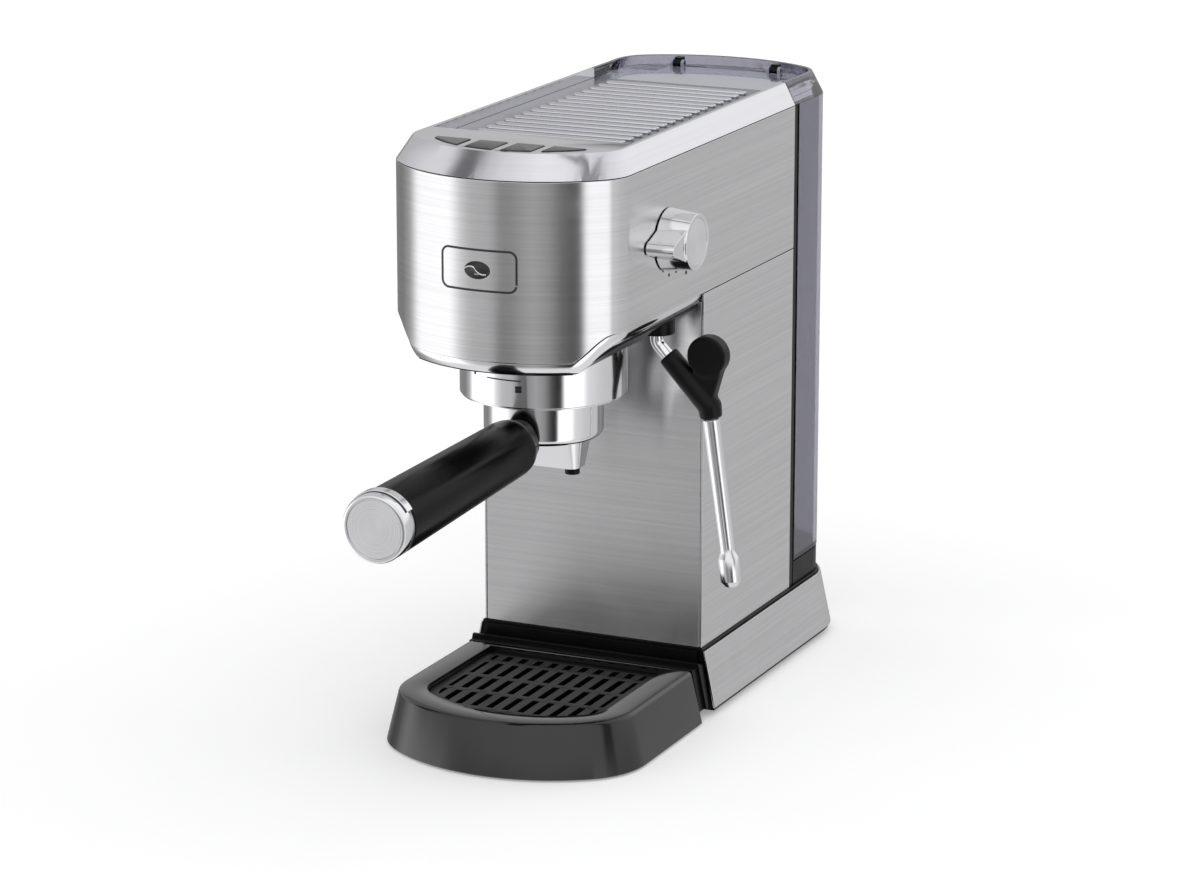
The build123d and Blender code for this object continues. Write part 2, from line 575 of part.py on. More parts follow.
def make_group():
    """Group head, chrome bayonet collar, gasket, shower screen and its screw."""
    head = rod(COLLAR_R - 4, COLLAR_TOP + 0.1, GROUP_TOP)
    head += rod(COLLAR_BORE - 4.5, GASKET_Z + 6.5, COLLAR_TOP + 1)
    head += rod(24, GASKET_Z + 1.6, GASKET_Z + 7)
    head -= rod(2.0, 0, GROUP_TOP + 1)
    save("group_head", head)
    collar = rod(COLLAR_R, COLLAR_FOOT, COLLAR_TOP) - rod(COLLAR_BORE, COLLAR_FOOT + LIP_T, BIG)
    collar -= rod(CUP_R + 1.4, 0, BIG)
    for turn in (0, 180):
        collar -= wedge(COLLAR_BORE, SLOT_HALF, turn - UNLOCK, COLLAR_FOOT - 1, COLLAR_TOP - 5)
    save("group_collar", collar)
    gasket = tube(COLLAR_BORE - 4.6, 25.2, GASKET_Z, GASKET_Z + 6.4)
    save("group_gasket", gasket)
    screen = rod(SCREEN_R, GASKET_Z - 1.6, GASKET_Z - 0.6)
    for ring, holes in ((8.0, 8), (14.0, 14), (20.0, 20)):
        for i in range(holes):
            turn = radians(360 / holes * i)
            screen -= rod(0.9, 0, BIG, ring * cos(turn), ring * sin(turn))
    screen -= rod(2.4, 0, BIG)
    screen += tube(SCREEN_R, SCREEN_R - 0.8, GASKET_Z - 1.6, GASKET_Z + 1.5)
    save("shower_screen", screen)
    screw = rod(1.9, GASKET_Z - 1.6, GASKET_Z + 14) + rod(4.0, GASKET_Z - 3.4, GASKET_Z - 1.6)
    save("shower_screw", screw)


def handle_point(reach, side=0.0, rise=0.0):
    """A point at a distance along the handle, with the handle's droop."""
    fall = radians(HANDLE_DROOP)
    return (side, HANDLE_ROOT - reach * cos(fall) + rise * sin(-fall),
            HANDLE_Z - reach * sin(fall) + rise * cos(fall))


def handle_bar(start, end, radius, radius_end=None):
    """A round length of the handle between two distances along it."""
    return along(handle_point(start), handle_point(end), radius, radius_end)


def make_portafilter():
    """Cup with lugs, basket, spouts with their tips, and the handle's neck, grip and end cap."""
    cup = rod(CUP_R, CUP_FOOT, CUP_TOP) - rod(CUP_BORE, CUP_FOOT + CUP_FLOOR, CUP_TOP + 1)
    cup -= rod(4.0, 0, CUP_TOP)
    for turn in (0, 180):
        lug = wedge(LUG_R, LUG_HALF, turn, LUG_Z, LUG_Z + LUG_T)
        cup += lug - rod(CUP_R - 1, 0, BIG)
    save("portafilter_cup", cup)

    basket = rod(BASKET_R, BASKET_FLOOR, CUP_TOP + 0.4) - rod(BASKET_R - BASKET_T,
                                                              BASKET_FLOOR + BASKET_T, BIG)
    basket += tube(BASKET_FLANGE, BASKET_R - BASKET_T, CUP_TOP + 0.05, CUP_TOP + 1.3)
    for ring, holes in ((6.0, 6), (12.0, 12), (18.0, 18)):
        for i in range(holes):
            turn = radians(360 / holes * i)
            basket -= rod(0.8, 0, BIG, ring * cos(turn), ring * sin(turn))
    save("filter_basket", basket)

    top = CUP_FOOT - 0.05
    spout = loft([Pos(0, 0, SPOUT_FOOT) * RectangleRounded(2 * SPOUT_X + 11, 15, 5),
                  Pos(0, 0, top) * RectangleRounded(2 * SPOUT_X + 16, 26, 9)])
    spout -= rod(4.0, SPOUT_FOOT + 7, BIG)
    spout -= rod_x(SPOUT_BORE, -SPOUT_X, SPOUT_X, 0, SPOUT_FOOT + 8)
    tips = []
    for side in (-1, 1):
        x = side * SPOUT_X
        spout -= rod(SPOUT_BORE, 0, SPOUT_FOOT + 8, x, 0)
        spout -= rod(SPOUT_BORE + 1.0, 0, SPOUT_FOOT + 4, x, 0)
        tips.append(tube(SPOUT_BORE + 0.95, SPOUT_BORE - 0.4, SPOUT_FOOT - 4.0, SPOUT_FOOT + 3.9, x, 0))
    save("spout_tips", Compound(children=tips))

    length = (-HANDLE_END + HANDLE_ROOT) / cos(radians(HANDLE_DROOP))
    grip_end = length - CAP_L
    neck = handle_bar(-8, NECK_SINK, NECK_R - 1.4, NECK_R) - rod(CUP_R + 0.05, 0, BIG)
    root = handle_bar(0, 3, HANDLE_ROOT_R - 2.8, HANDLE_ROOT_R - 0.6)
    root += handle_bar(3, HANDLE_SHOULDER, HANDLE_ROOT_R - 0.6, HANDLE_ROOT_R)
    grip = root + handle_bar(HANDLE_SHOULDER, grip_end, HANDLE_ROOT_R, HANDLE_R)
    bore = handle_bar(-1, grip_end + 1, STUD_R + 0.1)
    grip -= bore + handle_bar(-1, NECK_SINK + 0.1, NECK_R + 0.1)
    stud = handle_bar(NECK_SINK - 0.1, grip_end + 1.5, STUD_R)
    neck += stud
    spout -= handle_bar(-14, 20, HANDLE_ROOT_R + 1.2)
    save("spout_block", spout)
    save("handle_neck", neck)
    save("handle_grip", grip)
    cap = handle_bar(grip_end + 0.1, length, HANDLE_R)
    cap -= handle_bar(length - 0.8, length + 1, HANDLE_R - CAP_RING)
    cap -= handle_bar(grip_end, grip_end + 1.6, STUD_R + 0.1)
    save("handle_cap", cap)


# ---- drip tray ------------------------------------------------------------------------------------------------
def make_tray():
    """Glossy tray with its ledge, and the slotted cup grid."""
    foot = TRAY_FLARE
    tray = taper(tray_plan(0, foot), TRAY_FOOT, tray_plan(), TRAY_TOP) & before(TRAY_REAR)
    under = taper(tray_plan(-TRAY_WALL, foot), TRAY_FOOT - 0.01, tray_plan(-TRAY_WALL, foot * 0.8),
                  TRAY_FLOOR)
    tray -= under
    grid_top = TRAY_TOP - GRID_DROP
    rear_wall = TRAY_REAR - 2.5
    tray -= prism(tray_plan(-TRAY_RIM), grid_top - GRID_T - 0.2, BIG) & before(rear_wall)
    tray -= (prism(tray_plan(-TRAY_RIM - TRAY_LEDGE), TRAY_FLOOR + 2.5, BIG)
             & before(rear_wall - TRAY_LEDGE))
    save("drip_tray", tray)

    grid = prism(tray_plan(-TRAY_RIM - 0.6), grid_top - GRID_T, grid_top) & before(rear_wall - 0.6)
    slot_area = tray_plan(-TRAY_RIM - TRAY_LEDGE - 3)
    slots = prism(slot_area, 0, BIG) & before(rear_wall - TRAY_LEDGE - 3)
    comb = [block(i * SLOT_PITCH - SLOT_W / 2, i * SLOT_PITCH + SLOT_W / 2, y, y + 20, 0, BIG)
            for i in range(-6, 7) for y in (-74, -49, -24, 1, 26)]
    grid -= slots & (Part() + comb)
    save("drip_grid", grid)


# ---- steam knob and wand ---------------------------------------------------------------------------------------
def make_knob():
    """Tapered knob with its pointer wing, face disc, spindle and valve."""
    x0 = HALF_WIDTH + 0.6
    x1 = x0 + KNOB_L
    knob = along((x0, KNOB_Y, KNOB_Z), (x1, KNOB_Y, KNOB_Z), KNOB_R, KNOB_FACE_R)
    root_h = KNOB_FACE_R - 2.0
    wing_face = Polyline([(0, -root_h), (0, root_h), (-WING + WING_H / 2, WING_H / 2),
                          (-WING + WING_H / 2, -WING_H / 2)], close=True)
    wing = Sketch() + make_face(wing_face)
    wing += Pos(-WING + WING_H / 2, 0) * Circle(WING_H / 2)
    wing = extrude(Plane(origin=(x0, KNOB_Y, KNOB_Z), x_dir=(0, 1, 0), z_dir=(1, 0, 0)) * wing,
                   KNOB_L - 1.0)
    knob += wing
    knob -= rod_x(KNOB_FACE_R - 2.2, x1 - 1.2, x1 + 1, KNOB_Y, KNOB_Z)
    knob -= rod_x(SPINDLE_R, x0 - 1, x0 + 9, KNOB_Y, KNOB_Z)
    save("steam_knob", knob)
    disc = rod_x(KNOB_FACE_R - 2.3, x1 - 1.15, x1 - 0.35, KNOB_Y, KNOB_Z)
    save("knob_disc", disc)
    spindle = rod_x(SPINDLE_R, HALF_WIDTH - 22, x0 + 9, KNOB_Y, KNOB_Z)
    save("steam_spindle", spindle)
    valve = block(HALF_WIDTH - 36, HALF_WIDTH - 10, KNOB_Y - 11, KNOB_Y + 11, KNOB_Z - 11, KNOB_Z + 11)
    valve -= rod_x(SPINDLE_R + RUN, HALF_WIDTH - 22.5, HALF_WIDTH, KNOB_Y, KNOB_Z)
    valve += rod(4, SHELF_Z + SHELF_T + 0.1, KNOB_Z - 11, HALF_WIDTH - 30, KNOB_Y)
    save("steam_valve", valve)


def make_wand():
    """Ball socket, bent tube, rubber grip with its thumb rest, and the frothing sleeve."""
    ball_z = WAND_BALL_Z
    socket = tube(BALL_R + 3.0, BALL_R - 1.6, ball_z - 6, SHELF_Z - 0.1, WAND_X, WAND_Y)
    socket -= Pos(WAND_X, WAND_Y, ball_z) * Sphere(BALL_R + RUN)
    save("wand_socket", socket)

    way = hypot(TIP_X - ELBOW_X, ELBOW_Z - TIP_Z)
    drop = Vector((TIP_X - ELBOW_X) / way, 0, -(ELBOW_Z - TIP_Z) / way)
    tube_end = Vector(ELBOW_X, WAND_Y, ELBOW_Z) + drop * 66
    points = [(WAND_X, WAND_Y, ball_z), (WAND_X, WAND_Y, 211), (ELBOW_X, WAND_Y, ELBOW_Z), tuple(tube_end)]
    wand = pipe(points[:3], 6.0, TUBE_R) + Pos(*points[0]) * Sphere(BALL_R)
    wand += Pos(*points[2]) * Sphere(TUBE_R)
    lower = along(points[2], points[3], 2.6)
    wand += lower
    save("wand_tube", wand)

    start = Vector(*points[1])
    bend = Vector(*points[2])
    slant = (bend - start).normalized()
    grip_top = start + slant * 9
    grip = along(tuple(grip_top), tuple(bend), GRIP_R - 0.6, GRIP_R)
    grip += Pos(*bend) * Sphere(GRIP_R)
    grip += along(tuple(bend), tuple(bend + drop * GRIP_TAIL), GRIP_R, GRIP_R - 0.4)
    thumb = Pos(THUMB_X, WAND_Y, THUMB_Z) * Rot(90, 0, 0) * Cylinder(THUMB_R, THUMB_T)
    web = Polyline([(THUMB_X - 8, THUMB_Z - 6), (THUMB_X + 8, THUMB_Z - 8),
                    (ELBOW_X + 3, ELBOW_Z + 4), (ELBOW_X - 8, ELBOW_Z + 8)], close=True)
    web_face = Plane.XZ * (Sketch() + make_face(web))
    grip += thumb
    grip += Pos(0, WAND_Y, 0) * extrude(web_face, THUMB_T / 2 - 0.5, both=True)
    grip -= pipe(points[:3], 6.0, TUBE_R + 0.05) + Pos(*points[2]) * Sphere(TUBE_R + 0.05)
    grip -= along(points[2], points[3], 2.65)
    save("wand_grip", grip)

    sleeve_top = bend + drop * (GRIP_TAIL + 0.6)
    sleeve_end = bend + drop * (way - NOZZLE_L)
    sleeve = along(tuple(sleeve_top), tuple(sleeve_end), SLEEVE_TOP_R, SLEEVE_R)
    sleeve -= along(points[2], tuple(Vector(*points[3]) + drop * 1), 2.6 + RUN)
    tip = bend + drop * way
    sleeve += along(tuple(sleeve_end), tuple(sleeve_end + drop * 4), SLEEVE_R, NOZZLE_R)
    sleeve += along(tuple(sleeve_end + drop * 4), tuple(tip - drop * 3), NOZZLE_R)
    sleeve += along(tuple(tip - drop * 3), tuple(tip), NOZZLE_R, NOZZLE_R - 2.2)
    sleeve -= along(tuple(sleeve_end - drop), tuple(tip + drop), 1.4)
    save("frother_sleeve", sleeve)


# ---- water path and heat ------------------------------------------------------------------------------------------
BLOCK_Z = SHELF_Z + SHELF_T + 3.0


def make_inside():
    """Pump on its rubber mounts, heater, thermostats, brew valve, hoses and the power board."""
    pump = rod(17, PUMP_Z - 22, PUMP_Z + 22, 0, PUMP_Y)
    pump += block(-20, 20, PUMP_Y - 14, PUMP_Y + 14, PUMP_Z - 16, PUMP_Z + 16)
    pump += rod(8, PUMP_Z - 38, PUMP_Z + 34, 0, PUMP_Y)
    pump -= rod(2.5, 0, BIG, 0, PUMP_Y)
    save("pump", pump)
    mounts = [tube(12, 8.05, PUMP_Z - 30, PUMP_Z - 23, 0, PUMP_Y),
              tube(12, 8.05, PUMP_Z + 23, PUMP_Z + 30, 0, PUMP_Y)]
    save("pump_mounts", Compound(children=mounts))
    heater = block(-32, 20, 20, 130, BLOCK_Z, BLOCK_Z + 34)
    heater += block(-26, 14, 26, 124, BLOCK_Z + 33, BLOCK_Z + 42)
    for x, y in ((-28, 26), (16, 26), (-28, 124), (16, 124)):
        heater += rod(3, SHELF_Z + SHELF_T + 0.05, BLOCK_Z + 1, x, y)
    save("thermoblock", heater)
    caps = [rod(8, BLOCK_Z + 42.05, BLOCK_Z + 50, -6, y) for y in (50, 90)]
    save("thermostats", Compound(children=caps))
    solenoid = block(-14, 14, -26, 6, SHELF_Z + SHELF_T + 0.1, SHELF_Z + 26)
    solenoid += rod(9, SHELF_Z + 25, SHELF_Z + 44, 0, -10)
    solenoid -= rod(2, 0, SHELF_Z + 20)
    save("brew_valve", solenoid)

    supply = [(0, VALVE_Y, DOCK_TOP - 9.1), (0, VALVE_Y, 26), (0, PUMP_Y, 26), (0, PUMP_Y, PUMP_Z - 38.1)]
    feed_top = BLOCK_Z + 10
    feed = [(0, PUMP_Y, PUMP_Z + 34.1), (0, PUMP_Y, 150), (0, PUMP_Y + 44, 190),
            (0, PUMP_Y + 44, feed_top), (0, 130.1, feed_top)]
    save("water_hoses", Compound(children=[pipe(supply, 10, 2.4), pipe(feed, 9, 2.4)]))
    board = block(-HALF_WIDTH + 6, -HALF_WIDTH + 7.6, COLUMN_Y + 30, COLUMN_Y + 100, 120, 200)
    board += block(-HALF_WIDTH + 7.5, -HALF_WIDTH + 18, COLUMN_Y + 40, COLUMN_Y + 60, 130, 160)
    board += block(-HALF_WIDTH + 7.5, -HALF_WIDTH + 22, COLUMN_Y + 68, COLUMN_Y + 92, 165, 190)
    save("power_board", board)


os.makedirs("parts", exist_ok=True)
make_base()
make_column()
make_head()
make_top()
make_tank()
make_group()
make_portafilter()
make_tray()
make_knob()
make_wand()
make_inside()
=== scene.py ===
"""Slim espresso machine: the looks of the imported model.

Sizes are written in millimetres in the model's own frame and become metres when a piece is made.
"""
import json
import logging
import math
from dataclasses import dataclass, replace
from enum import Enum
from functools import cache
from typing import Callable, Optional, Sequence, Union

import bmesh
import bpy
from mathutils import Matrix, Vector

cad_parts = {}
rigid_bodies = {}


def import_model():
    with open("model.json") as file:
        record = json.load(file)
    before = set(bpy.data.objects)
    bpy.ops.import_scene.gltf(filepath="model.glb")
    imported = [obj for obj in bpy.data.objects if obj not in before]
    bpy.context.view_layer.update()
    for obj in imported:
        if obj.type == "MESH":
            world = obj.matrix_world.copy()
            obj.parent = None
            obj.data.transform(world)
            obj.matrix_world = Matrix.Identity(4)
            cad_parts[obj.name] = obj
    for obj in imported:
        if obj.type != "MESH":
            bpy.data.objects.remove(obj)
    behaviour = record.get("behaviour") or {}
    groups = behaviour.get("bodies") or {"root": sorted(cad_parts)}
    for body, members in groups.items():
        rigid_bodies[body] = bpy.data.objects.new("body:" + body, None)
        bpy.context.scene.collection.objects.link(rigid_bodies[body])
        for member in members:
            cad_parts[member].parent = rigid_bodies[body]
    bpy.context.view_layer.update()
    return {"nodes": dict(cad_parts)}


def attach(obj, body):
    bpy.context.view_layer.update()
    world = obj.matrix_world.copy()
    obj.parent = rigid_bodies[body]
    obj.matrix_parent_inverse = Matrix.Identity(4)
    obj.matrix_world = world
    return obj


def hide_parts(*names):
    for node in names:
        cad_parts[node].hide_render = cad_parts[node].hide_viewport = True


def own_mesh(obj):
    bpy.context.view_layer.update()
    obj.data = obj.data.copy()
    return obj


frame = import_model()
MM = 0.001
MERGE = 1e-4                 # vertices nearer than this are one, in millimetres
COPY_MERGE = 1e-6            # the same for a CAD node's mesh, in metres
FLAT = 0.6                   # faces that meet at less than this are one, in degrees
CORNER_STEPS = 14            # edges round a plan's corner
BOW_STEPS = 56               # edges along its bowed end
ORIGIN = (0, 0, 0)
UP = (0, 0, 1)
LOG = logging.getLogger("espresso")
Point = tuple[float, float, float]
Colour = tuple[float, float, float]
Tree = bpy.types.NodeTree
Socket = bpy.types.NodeSocket
Edges = list[bmesh.types.BMEdge]


class Brush(Enum):
    """Which way the fine lines of a brushed surface run: how much the noise is stretched per metre."""

    LEVEL = (9.0, 9.0, 1500.0)
    ACROSS = (9.0, 1500.0, 400.0)


# ---- shader nodes ---------------------------------------------------------------------------------------
def add(tree: Tree, kind: str, inputs: dict, **settings: object) -> bpy.types.Node:
    """Add a node to a tree.

    Args:
        tree: the tree it goes in.
        kind: the node's type, without its prefix.
        inputs: for an input's name or number, a socket to link to it or its value.
        settings: the node's own settings.

    Returns:
        The node.
    """
    node = tree.nodes.new(f"ShaderNode{kind}")
    for key, value in settings.items():
        setattr(node, key, value)
    for label, value in inputs.items():
        if isinstance(value, Socket):
            tree.links.new(value, node.inputs[label])
        else:
            node.inputs[label].default_value = value
    return node


def calculate(tree: Tree, operation: str, *values: Union[Socket, float]) -> Socket:
    """Add a math node on sockets or numbers and return its result."""
    return add(tree, "Math", dict(enumerate(values)), operation=operation).outputs[0]


def spread(tree: Tree, source: Socket, low: float, high: float, start: float = 0.0, end: float = 1.0,
           interpolation: str = "LINEAR") -> Socket:
    """Map a value to a new range.

    Args:
        tree: the tree it goes in.
        source: socket of the value.
        low: result at `start`.
        high: result at `end`.
        start: value that gives `low`.
        end: value that gives `high`.
        interpolation: how it goes from one to the other.

    Returns:
        The output socket.
    """
    return add(tree, "MapRange", {"From Min": start, "From Max": end, "To Min": low, "To Max": high,
                                  "Value": source}, interpolation_type=interpolation).outputs[0]


def mix(tree: Tree, factor: Socket, first: Union[Socket, Colour], second: Union[Socket, Colour]) -> Socket:
    """Blend two colours by a mask.

    Args:
        tree: the tree it goes in.
        factor: socket of the mask.
        first: colour at 0.
        second: colour at 1.

    Returns:
        The output socket.
    """
    ends = [(*end, 1.0) if isinstance(end, tuple) else end for end in (first, second)]
    inputs = {"Factor": factor, "A": ends[0], "B": ends[1]}
    return add(tree, "Mix", inputs, data_type="RGBA").outputs["Result"]


def bump(tree: Tree, shader: bpy.types.Node, height: Socket, depth: float, strength: float) -> None:
    """Give a shader a bump.

    Args:
        tree: the material's tree.
        shader: the shader.
        height: socket of the height, from 0 to 1.
        depth: height of 1, in metres.
        strength: share of the bump that shows.
    """
    node = add(tree, "Bump", {"Distance": depth, "Strength": strength, "Height": height})
    tree.links.new(node.outputs["Normal"], shader.inputs["Normal"])


class Effects:
    """Shader node groups that several finishes share, each built once."""

    @staticmethod
    def _start(name: str, given: tuple[str, str, object], *results: str) -> tuple[Tree, Socket, dict, Socket]:
        """Begin a node group.

        Args:
            name: the group's name.
            given: name, socket type and default of its input.
            results: name of each output.

        Returns:
            The tree, the input's socket, the outputs' sockets by name and the Object coordinates.
        """
        tree = bpy.data.node_groups.new(name, "ShaderNodeTree")
        label, kind, value = given
        tree.interface.new_socket(label, in_out="INPUT", socket_type=kind).default_value = value
        for result in results:
            tree.interface.new_socket(result, in_out="OUTPUT", socket_type="NodeSocketFloat")
        source = tree.nodes.new("NodeGroupInput").outputs[label]
        place = add(tree, "TexCoord", {}).outputs["Object"]
        return tree, source, tree.nodes.new("NodeGroupOutput").inputs, place

    @staticmethod
    def _noise(tree: Tree, vector: Socket, scale: float, detail: float, rough: float = 0.5) -> Socket:
        """Add a noise texture.

        Args:
            tree: the tree it goes in.
            vector: socket of the coordinates.
            scale: texture scale.
            detail: octaves.
            rough: octave strength.

        Returns:
            The factor output socket.
        """
        return add(tree, "TexNoise", {"Scale": scale, "Detail": detail, "Roughness": rough,
                                      "Vector": vector}).outputs["Fac"]

    @staticmethod
    @cache
    def brushing() -> Tree:
        """Fine parallel lines, stretched by a scale vector per metre."""
        tree, stretch, out, place = Effects._start(
            "Brushing", ("Stretch", "NodeSocketVector", Brush.LEVEL.value), "Fine", "Broad")
        stretched = add(tree, "VectorMath", {0: place, 1: stretch}, operation="MULTIPLY").outputs[0]
        for label, scale in (("Fine", 1.0), ("Broad", 0.22)):
            tree.links.new(Effects._noise(tree, stretched, scale, 3.0, 0.6), out[label])
        return tree

    @staticmethod
    @cache
    def handling() -> Tree:
        """Faint smears left by hands and cloths: a soft mask from 0 to 1."""
        tree, scale, out, place = Effects._start("Handling", ("Scale", "NodeSocketFloat", 18.0), "Smear")
        noise = add(tree, "TexNoise", {"Detail": 4.0, "Distortion": 1.4, "Vector": place, "Scale": scale})
        tree.links.new(spread(tree, noise.outputs["Fac"], 0.0, 1.0, 0.48, 0.72), out["Smear"])
        return tree

    @staticmethod
    @cache
    def grain() -> Tree:
        """Fine spark-eroded texture of a moulded piece: a height from 0 to 1, and broad flecks."""
        tree, scale, out, place = Effects._start(
            "Grain", ("Scale", "NodeSocketFloat", 1800.0), "Height", "Fleck")
        cells = add(tree, "TexVoronoi", {"Smoothness": 0.6, "Vector": place, "Scale": scale},
                    feature="SMOOTH_F1")
        noise = Effects._noise(tree, place, 900.0, 4.0)
        tree.links.new(calculate(tree, "MULTIPLY", cells.outputs["Distance"], noise), out["Height"])
        tree.links.new(Effects._noise(tree, place, 60.0, 4.0), out["Fleck"])
        return tree

    @staticmethod
    @cache
    def edge_wear() -> Tree:
        """A mask that is 1 on sharp edges and 0 elsewhere, broken up by noise."""
        tree, width, out, place = Effects._start("Edge wear", ("Width", "NodeSocketFloat", 0.0006), "Mask")
        rounded = add(tree, "Bevel", {"Radius": width}, samples=3).outputs[0]
        flat = add(tree, "NewGeometry", {}).outputs["Normal"]
        dot = add(tree, "VectorMath", {0: rounded, 1: flat}, operation="DOT_PRODUCT").outputs["Value"]
        worn = spread(tree, dot, 0.0, 1.0, 0.995, 0.9)
        noise = Effects._noise(tree, place, 120.0, 3.0)
        tree.links.new(calculate(tree, "MULTIPLY", worn, noise), out["Mask"])
        return tree


# ---- finishes -------------------------------------------------------------------------------------------
@dataclass(frozen=True)
class Finish:
    """A plain surface: a colour that varies a little, a gloss with smears on it, and a fine grain."""

    name: str
    slot: str
    colour: Colour
    roughness: float
    metallic: float = 0.0
    smear: float = 0.06          # how much rougher the smears are
    mottle: float = 0.08         # how much the colour varies
    grain_scale: float = 1800.0
    grain_depth: float = 0.0     # metres
    coat: float = 0.0
    anisotropy: float = 0.0
    turn: float = 0.0            # turn of the stretched highlight, in whole turns
    specular: float = 0.5
    wear: float = 0.0

    def _shaded(self, amount: float) -> Colour:
        """This finish's colour made lighter or darker by a share."""
        return tuple(min(1.0, part * (1.0 + amount)) for part in self.colour)

    def _colour(self, tree: Tree, shader: bpy.types.Node) -> None:
        """Link the varying colour."""
        grain = add(tree, "Group", {"Scale": self.grain_scale}, node_tree=Effects.grain())
        fleck = spread(tree, grain.outputs["Fleck"], 0.0, 1.0, 0.3, 0.7)
        colour = mix(tree, fleck, self._shaded(-self.mottle), self._shaded(self.mottle))
        if self.wear:
            worn = add(tree, "Group", {}, node_tree=Effects.edge_wear()).outputs["Mask"]
            colour = mix(tree, spread(tree, worn, 0.0, self.wear), colour, self._shaded(2.0))
        tree.links.new(colour, shader.inputs["Base Color"])
        if self.grain_depth:
            bump(tree, shader, grain.outputs["Height"], self.grain_depth, 0.6)

    def _roughness(self, tree: Tree, shader: bpy.types.Node) -> None:
        """Link the gloss with its smears."""
        smears = add(tree, "Group", {}, node_tree=Effects.handling()).outputs["Smear"]
        rough = spread(tree, smears, self.roughness, self.roughness + self.smear)
        tree.links.new(rough, shader.inputs["Roughness"])

    def _tangent(self, tree: Tree) -> Socket:
        """The level direction along the surface, for stretched highlights."""
        normal = add(tree, "NewGeometry", {}).outputs["Normal"]
        nearly_up = (0.001, 0.001, 1.0)
        return add(tree, "VectorMath", {0: normal, 1: nearly_up}, operation="CROSS_PRODUCT").outputs[0]

    def material(self) -> bpy.types.Material:
        """This finish's material, made once."""
        name = f"finish_{self.name}"
        made = bpy.data.materials.get(name)
        if made:
            return made
        made = bpy.data.materials.new(name)
        made.use_nodes = True
        tree = made.node_tree
        shader = tree.nodes["Principled BSDF"]
        shader.inputs["Metallic"].default_value = self.metallic
        shader.inputs["Coat Weight"].default_value = self.coat
        shader.inputs["Coat Roughness"].default_value = 0.05
        shader.inputs["Specular IOR Level"].default_value = self.specular
        if self.anisotropy:
            shader.inputs["Anisotropic"].default_value = self.anisotropy
            shader.inputs["Anisotropic Rotation"].default_value = self.turn
            tree.links.new(self._tangent(tree), shader.inputs["Tangent"])
        self._colour(tree, shader)
        self._roughness(tree, shader)
        return made

    def dress(self, thing: bpy.types.Object) -> None:
        """Give an object this finish alone."""
        thing.data.materials.clear()
        thing.data.materials.append(self.material())
        for polygon in thing.data.polygons:
            polygon.material_index = 0


@dataclass(frozen=True)
class BrushedFinish(Finish):
    """Metal with fine parallel brushing."""

    brush: Brush = Brush.LEVEL
    line_depth: float = 0.00002
    contrast: float = 0.14

    def _lined(self, tree: Tree, shader: bpy.types.Node, tone: Socket, height: Socket) -> None:
        """Link a colour and a bump that follow the lines.

        Args:
            tree: the material's tree.
            shader: its shader.
            tone: socket of the mask that goes from dark to light.
            height: socket of the lines' height.
        """
        colour = mix(tree, tone, self._shaded(-self.contrast), self._shaded(self.contrast))
        tree.links.new(colour, shader.inputs["Base Color"])
        bump(tree, shader, height, self.line_depth, 0.35)

    def _colour(self, tree: Tree, shader: bpy.types.Node) -> None:
        """Link a colour and a bump that follow the brush lines."""
        lines = add(tree, "Group", {"Stretch": self.brush.value}, node_tree=Effects.brushing())
        both = calculate(tree, "ADD", lines.outputs["Fine"], lines.outputs["Broad"])
        self._lined(tree, shader, spread(tree, both, 0.0, 1.0, 0.8, 1.2), lines.outputs["Fine"])


@dataclass(frozen=True)
class TurnedFinish(BrushedFinish):
    """Metal faced on a lathe: rings round a centre, with highlights that fan out from it."""

    centre: Point = (0.0, 0.0, 0.0)

    def _tangent(self, tree: Tree) -> Socket:
        """The direction away from the centre."""
        place = add(tree, "TexCoord", {}).outputs["Object"]
        return add(tree, "VectorMath", {0: place, 1: self.centre}, operation="SUBTRACT").outputs[0]

    def _colour(self, tree: Tree, shader: bpy.types.Node) -> None:
        """Link a colour and a bump that run in rings."""
        length = add(tree, "VectorMath", {0: self._tangent(tree)}, operation="LENGTH").outputs["Value"]
        height = add(tree, "TexNoise", {"Scale": 2200.0, "Detail": 3.0, "W": length},
                     noise_dimensions="1D").outputs["Fac"]
        self._lined(tree, shader, spread(tree, height, 0.0, 1.0, 0.3, 0.7), height)


@dataclass(frozen=True)
class ClearFinish(Finish):
    """Smoked clear plastic."""

    def _colour(self, tree: Tree, shader: bpy.types.Node) -> None:
        """Link a faintly uneven tint."""
        shader.inputs["Transmission Weight"].default_value = 1.0
        shader.inputs["IOR"].default_value = 1.49
        smears = add(tree, "Group", {"Scale": 9.0}, node_tree=Effects.handling()).outputs["Smear"]
        tint = mix(tree, smears, self._shaded(-self.mottle), self.colour)
        tree.links.new(tint, shader.inputs["Base Color"])


PANEL = BrushedFinish("brushed_panel", "brushed_panel", (0.66, 0.66, 0.665), 0.21, 1.0, 0.03,
                      anisotropy=0.92, turn=0.25, line_depth=0.000007, contrast=0.045)
SKIRT = BrushedFinish("brushed_skirt", "brushed_panel", (0.62, 0.62, 0.625), 0.27, 1.0, 0.03,
                      anisotropy=0.9, turn=0.25, line_depth=0.000007, contrast=0.05)
CHROME = Finish("polished_chrome", "polished_chrome", (0.80, 0.80, 0.81), 0.11, 1.0, 0.04, 0.02)
RIM = BrushedFinish("satin_rim", "satin_rim", (0.70, 0.70, 0.73), 0.12, 1.0, 0.04,
                    line_depth=0.000002, contrast=0.02)
# A darker copy of the ribs' steel for the sheet under the ribs: painted shade in the channels between them.
PLATE_PAINTED_SHADE = BrushedFinish("cup_plate_steel", "cup_plate_steel", (0.30, 0.30, 0.325), 0.26, 1.0, 0.05,
                      brush=Brush.ACROSS, line_depth=0.000005, contrast=0.05)
RIB = BrushedFinish("cup_plate_rib", "cup_plate_steel", (0.62, 0.62, 0.66), 0.2, 1.0, 0.05,
                    brush=Brush.ACROSS, line_depth=0.000005, contrast=0.05)
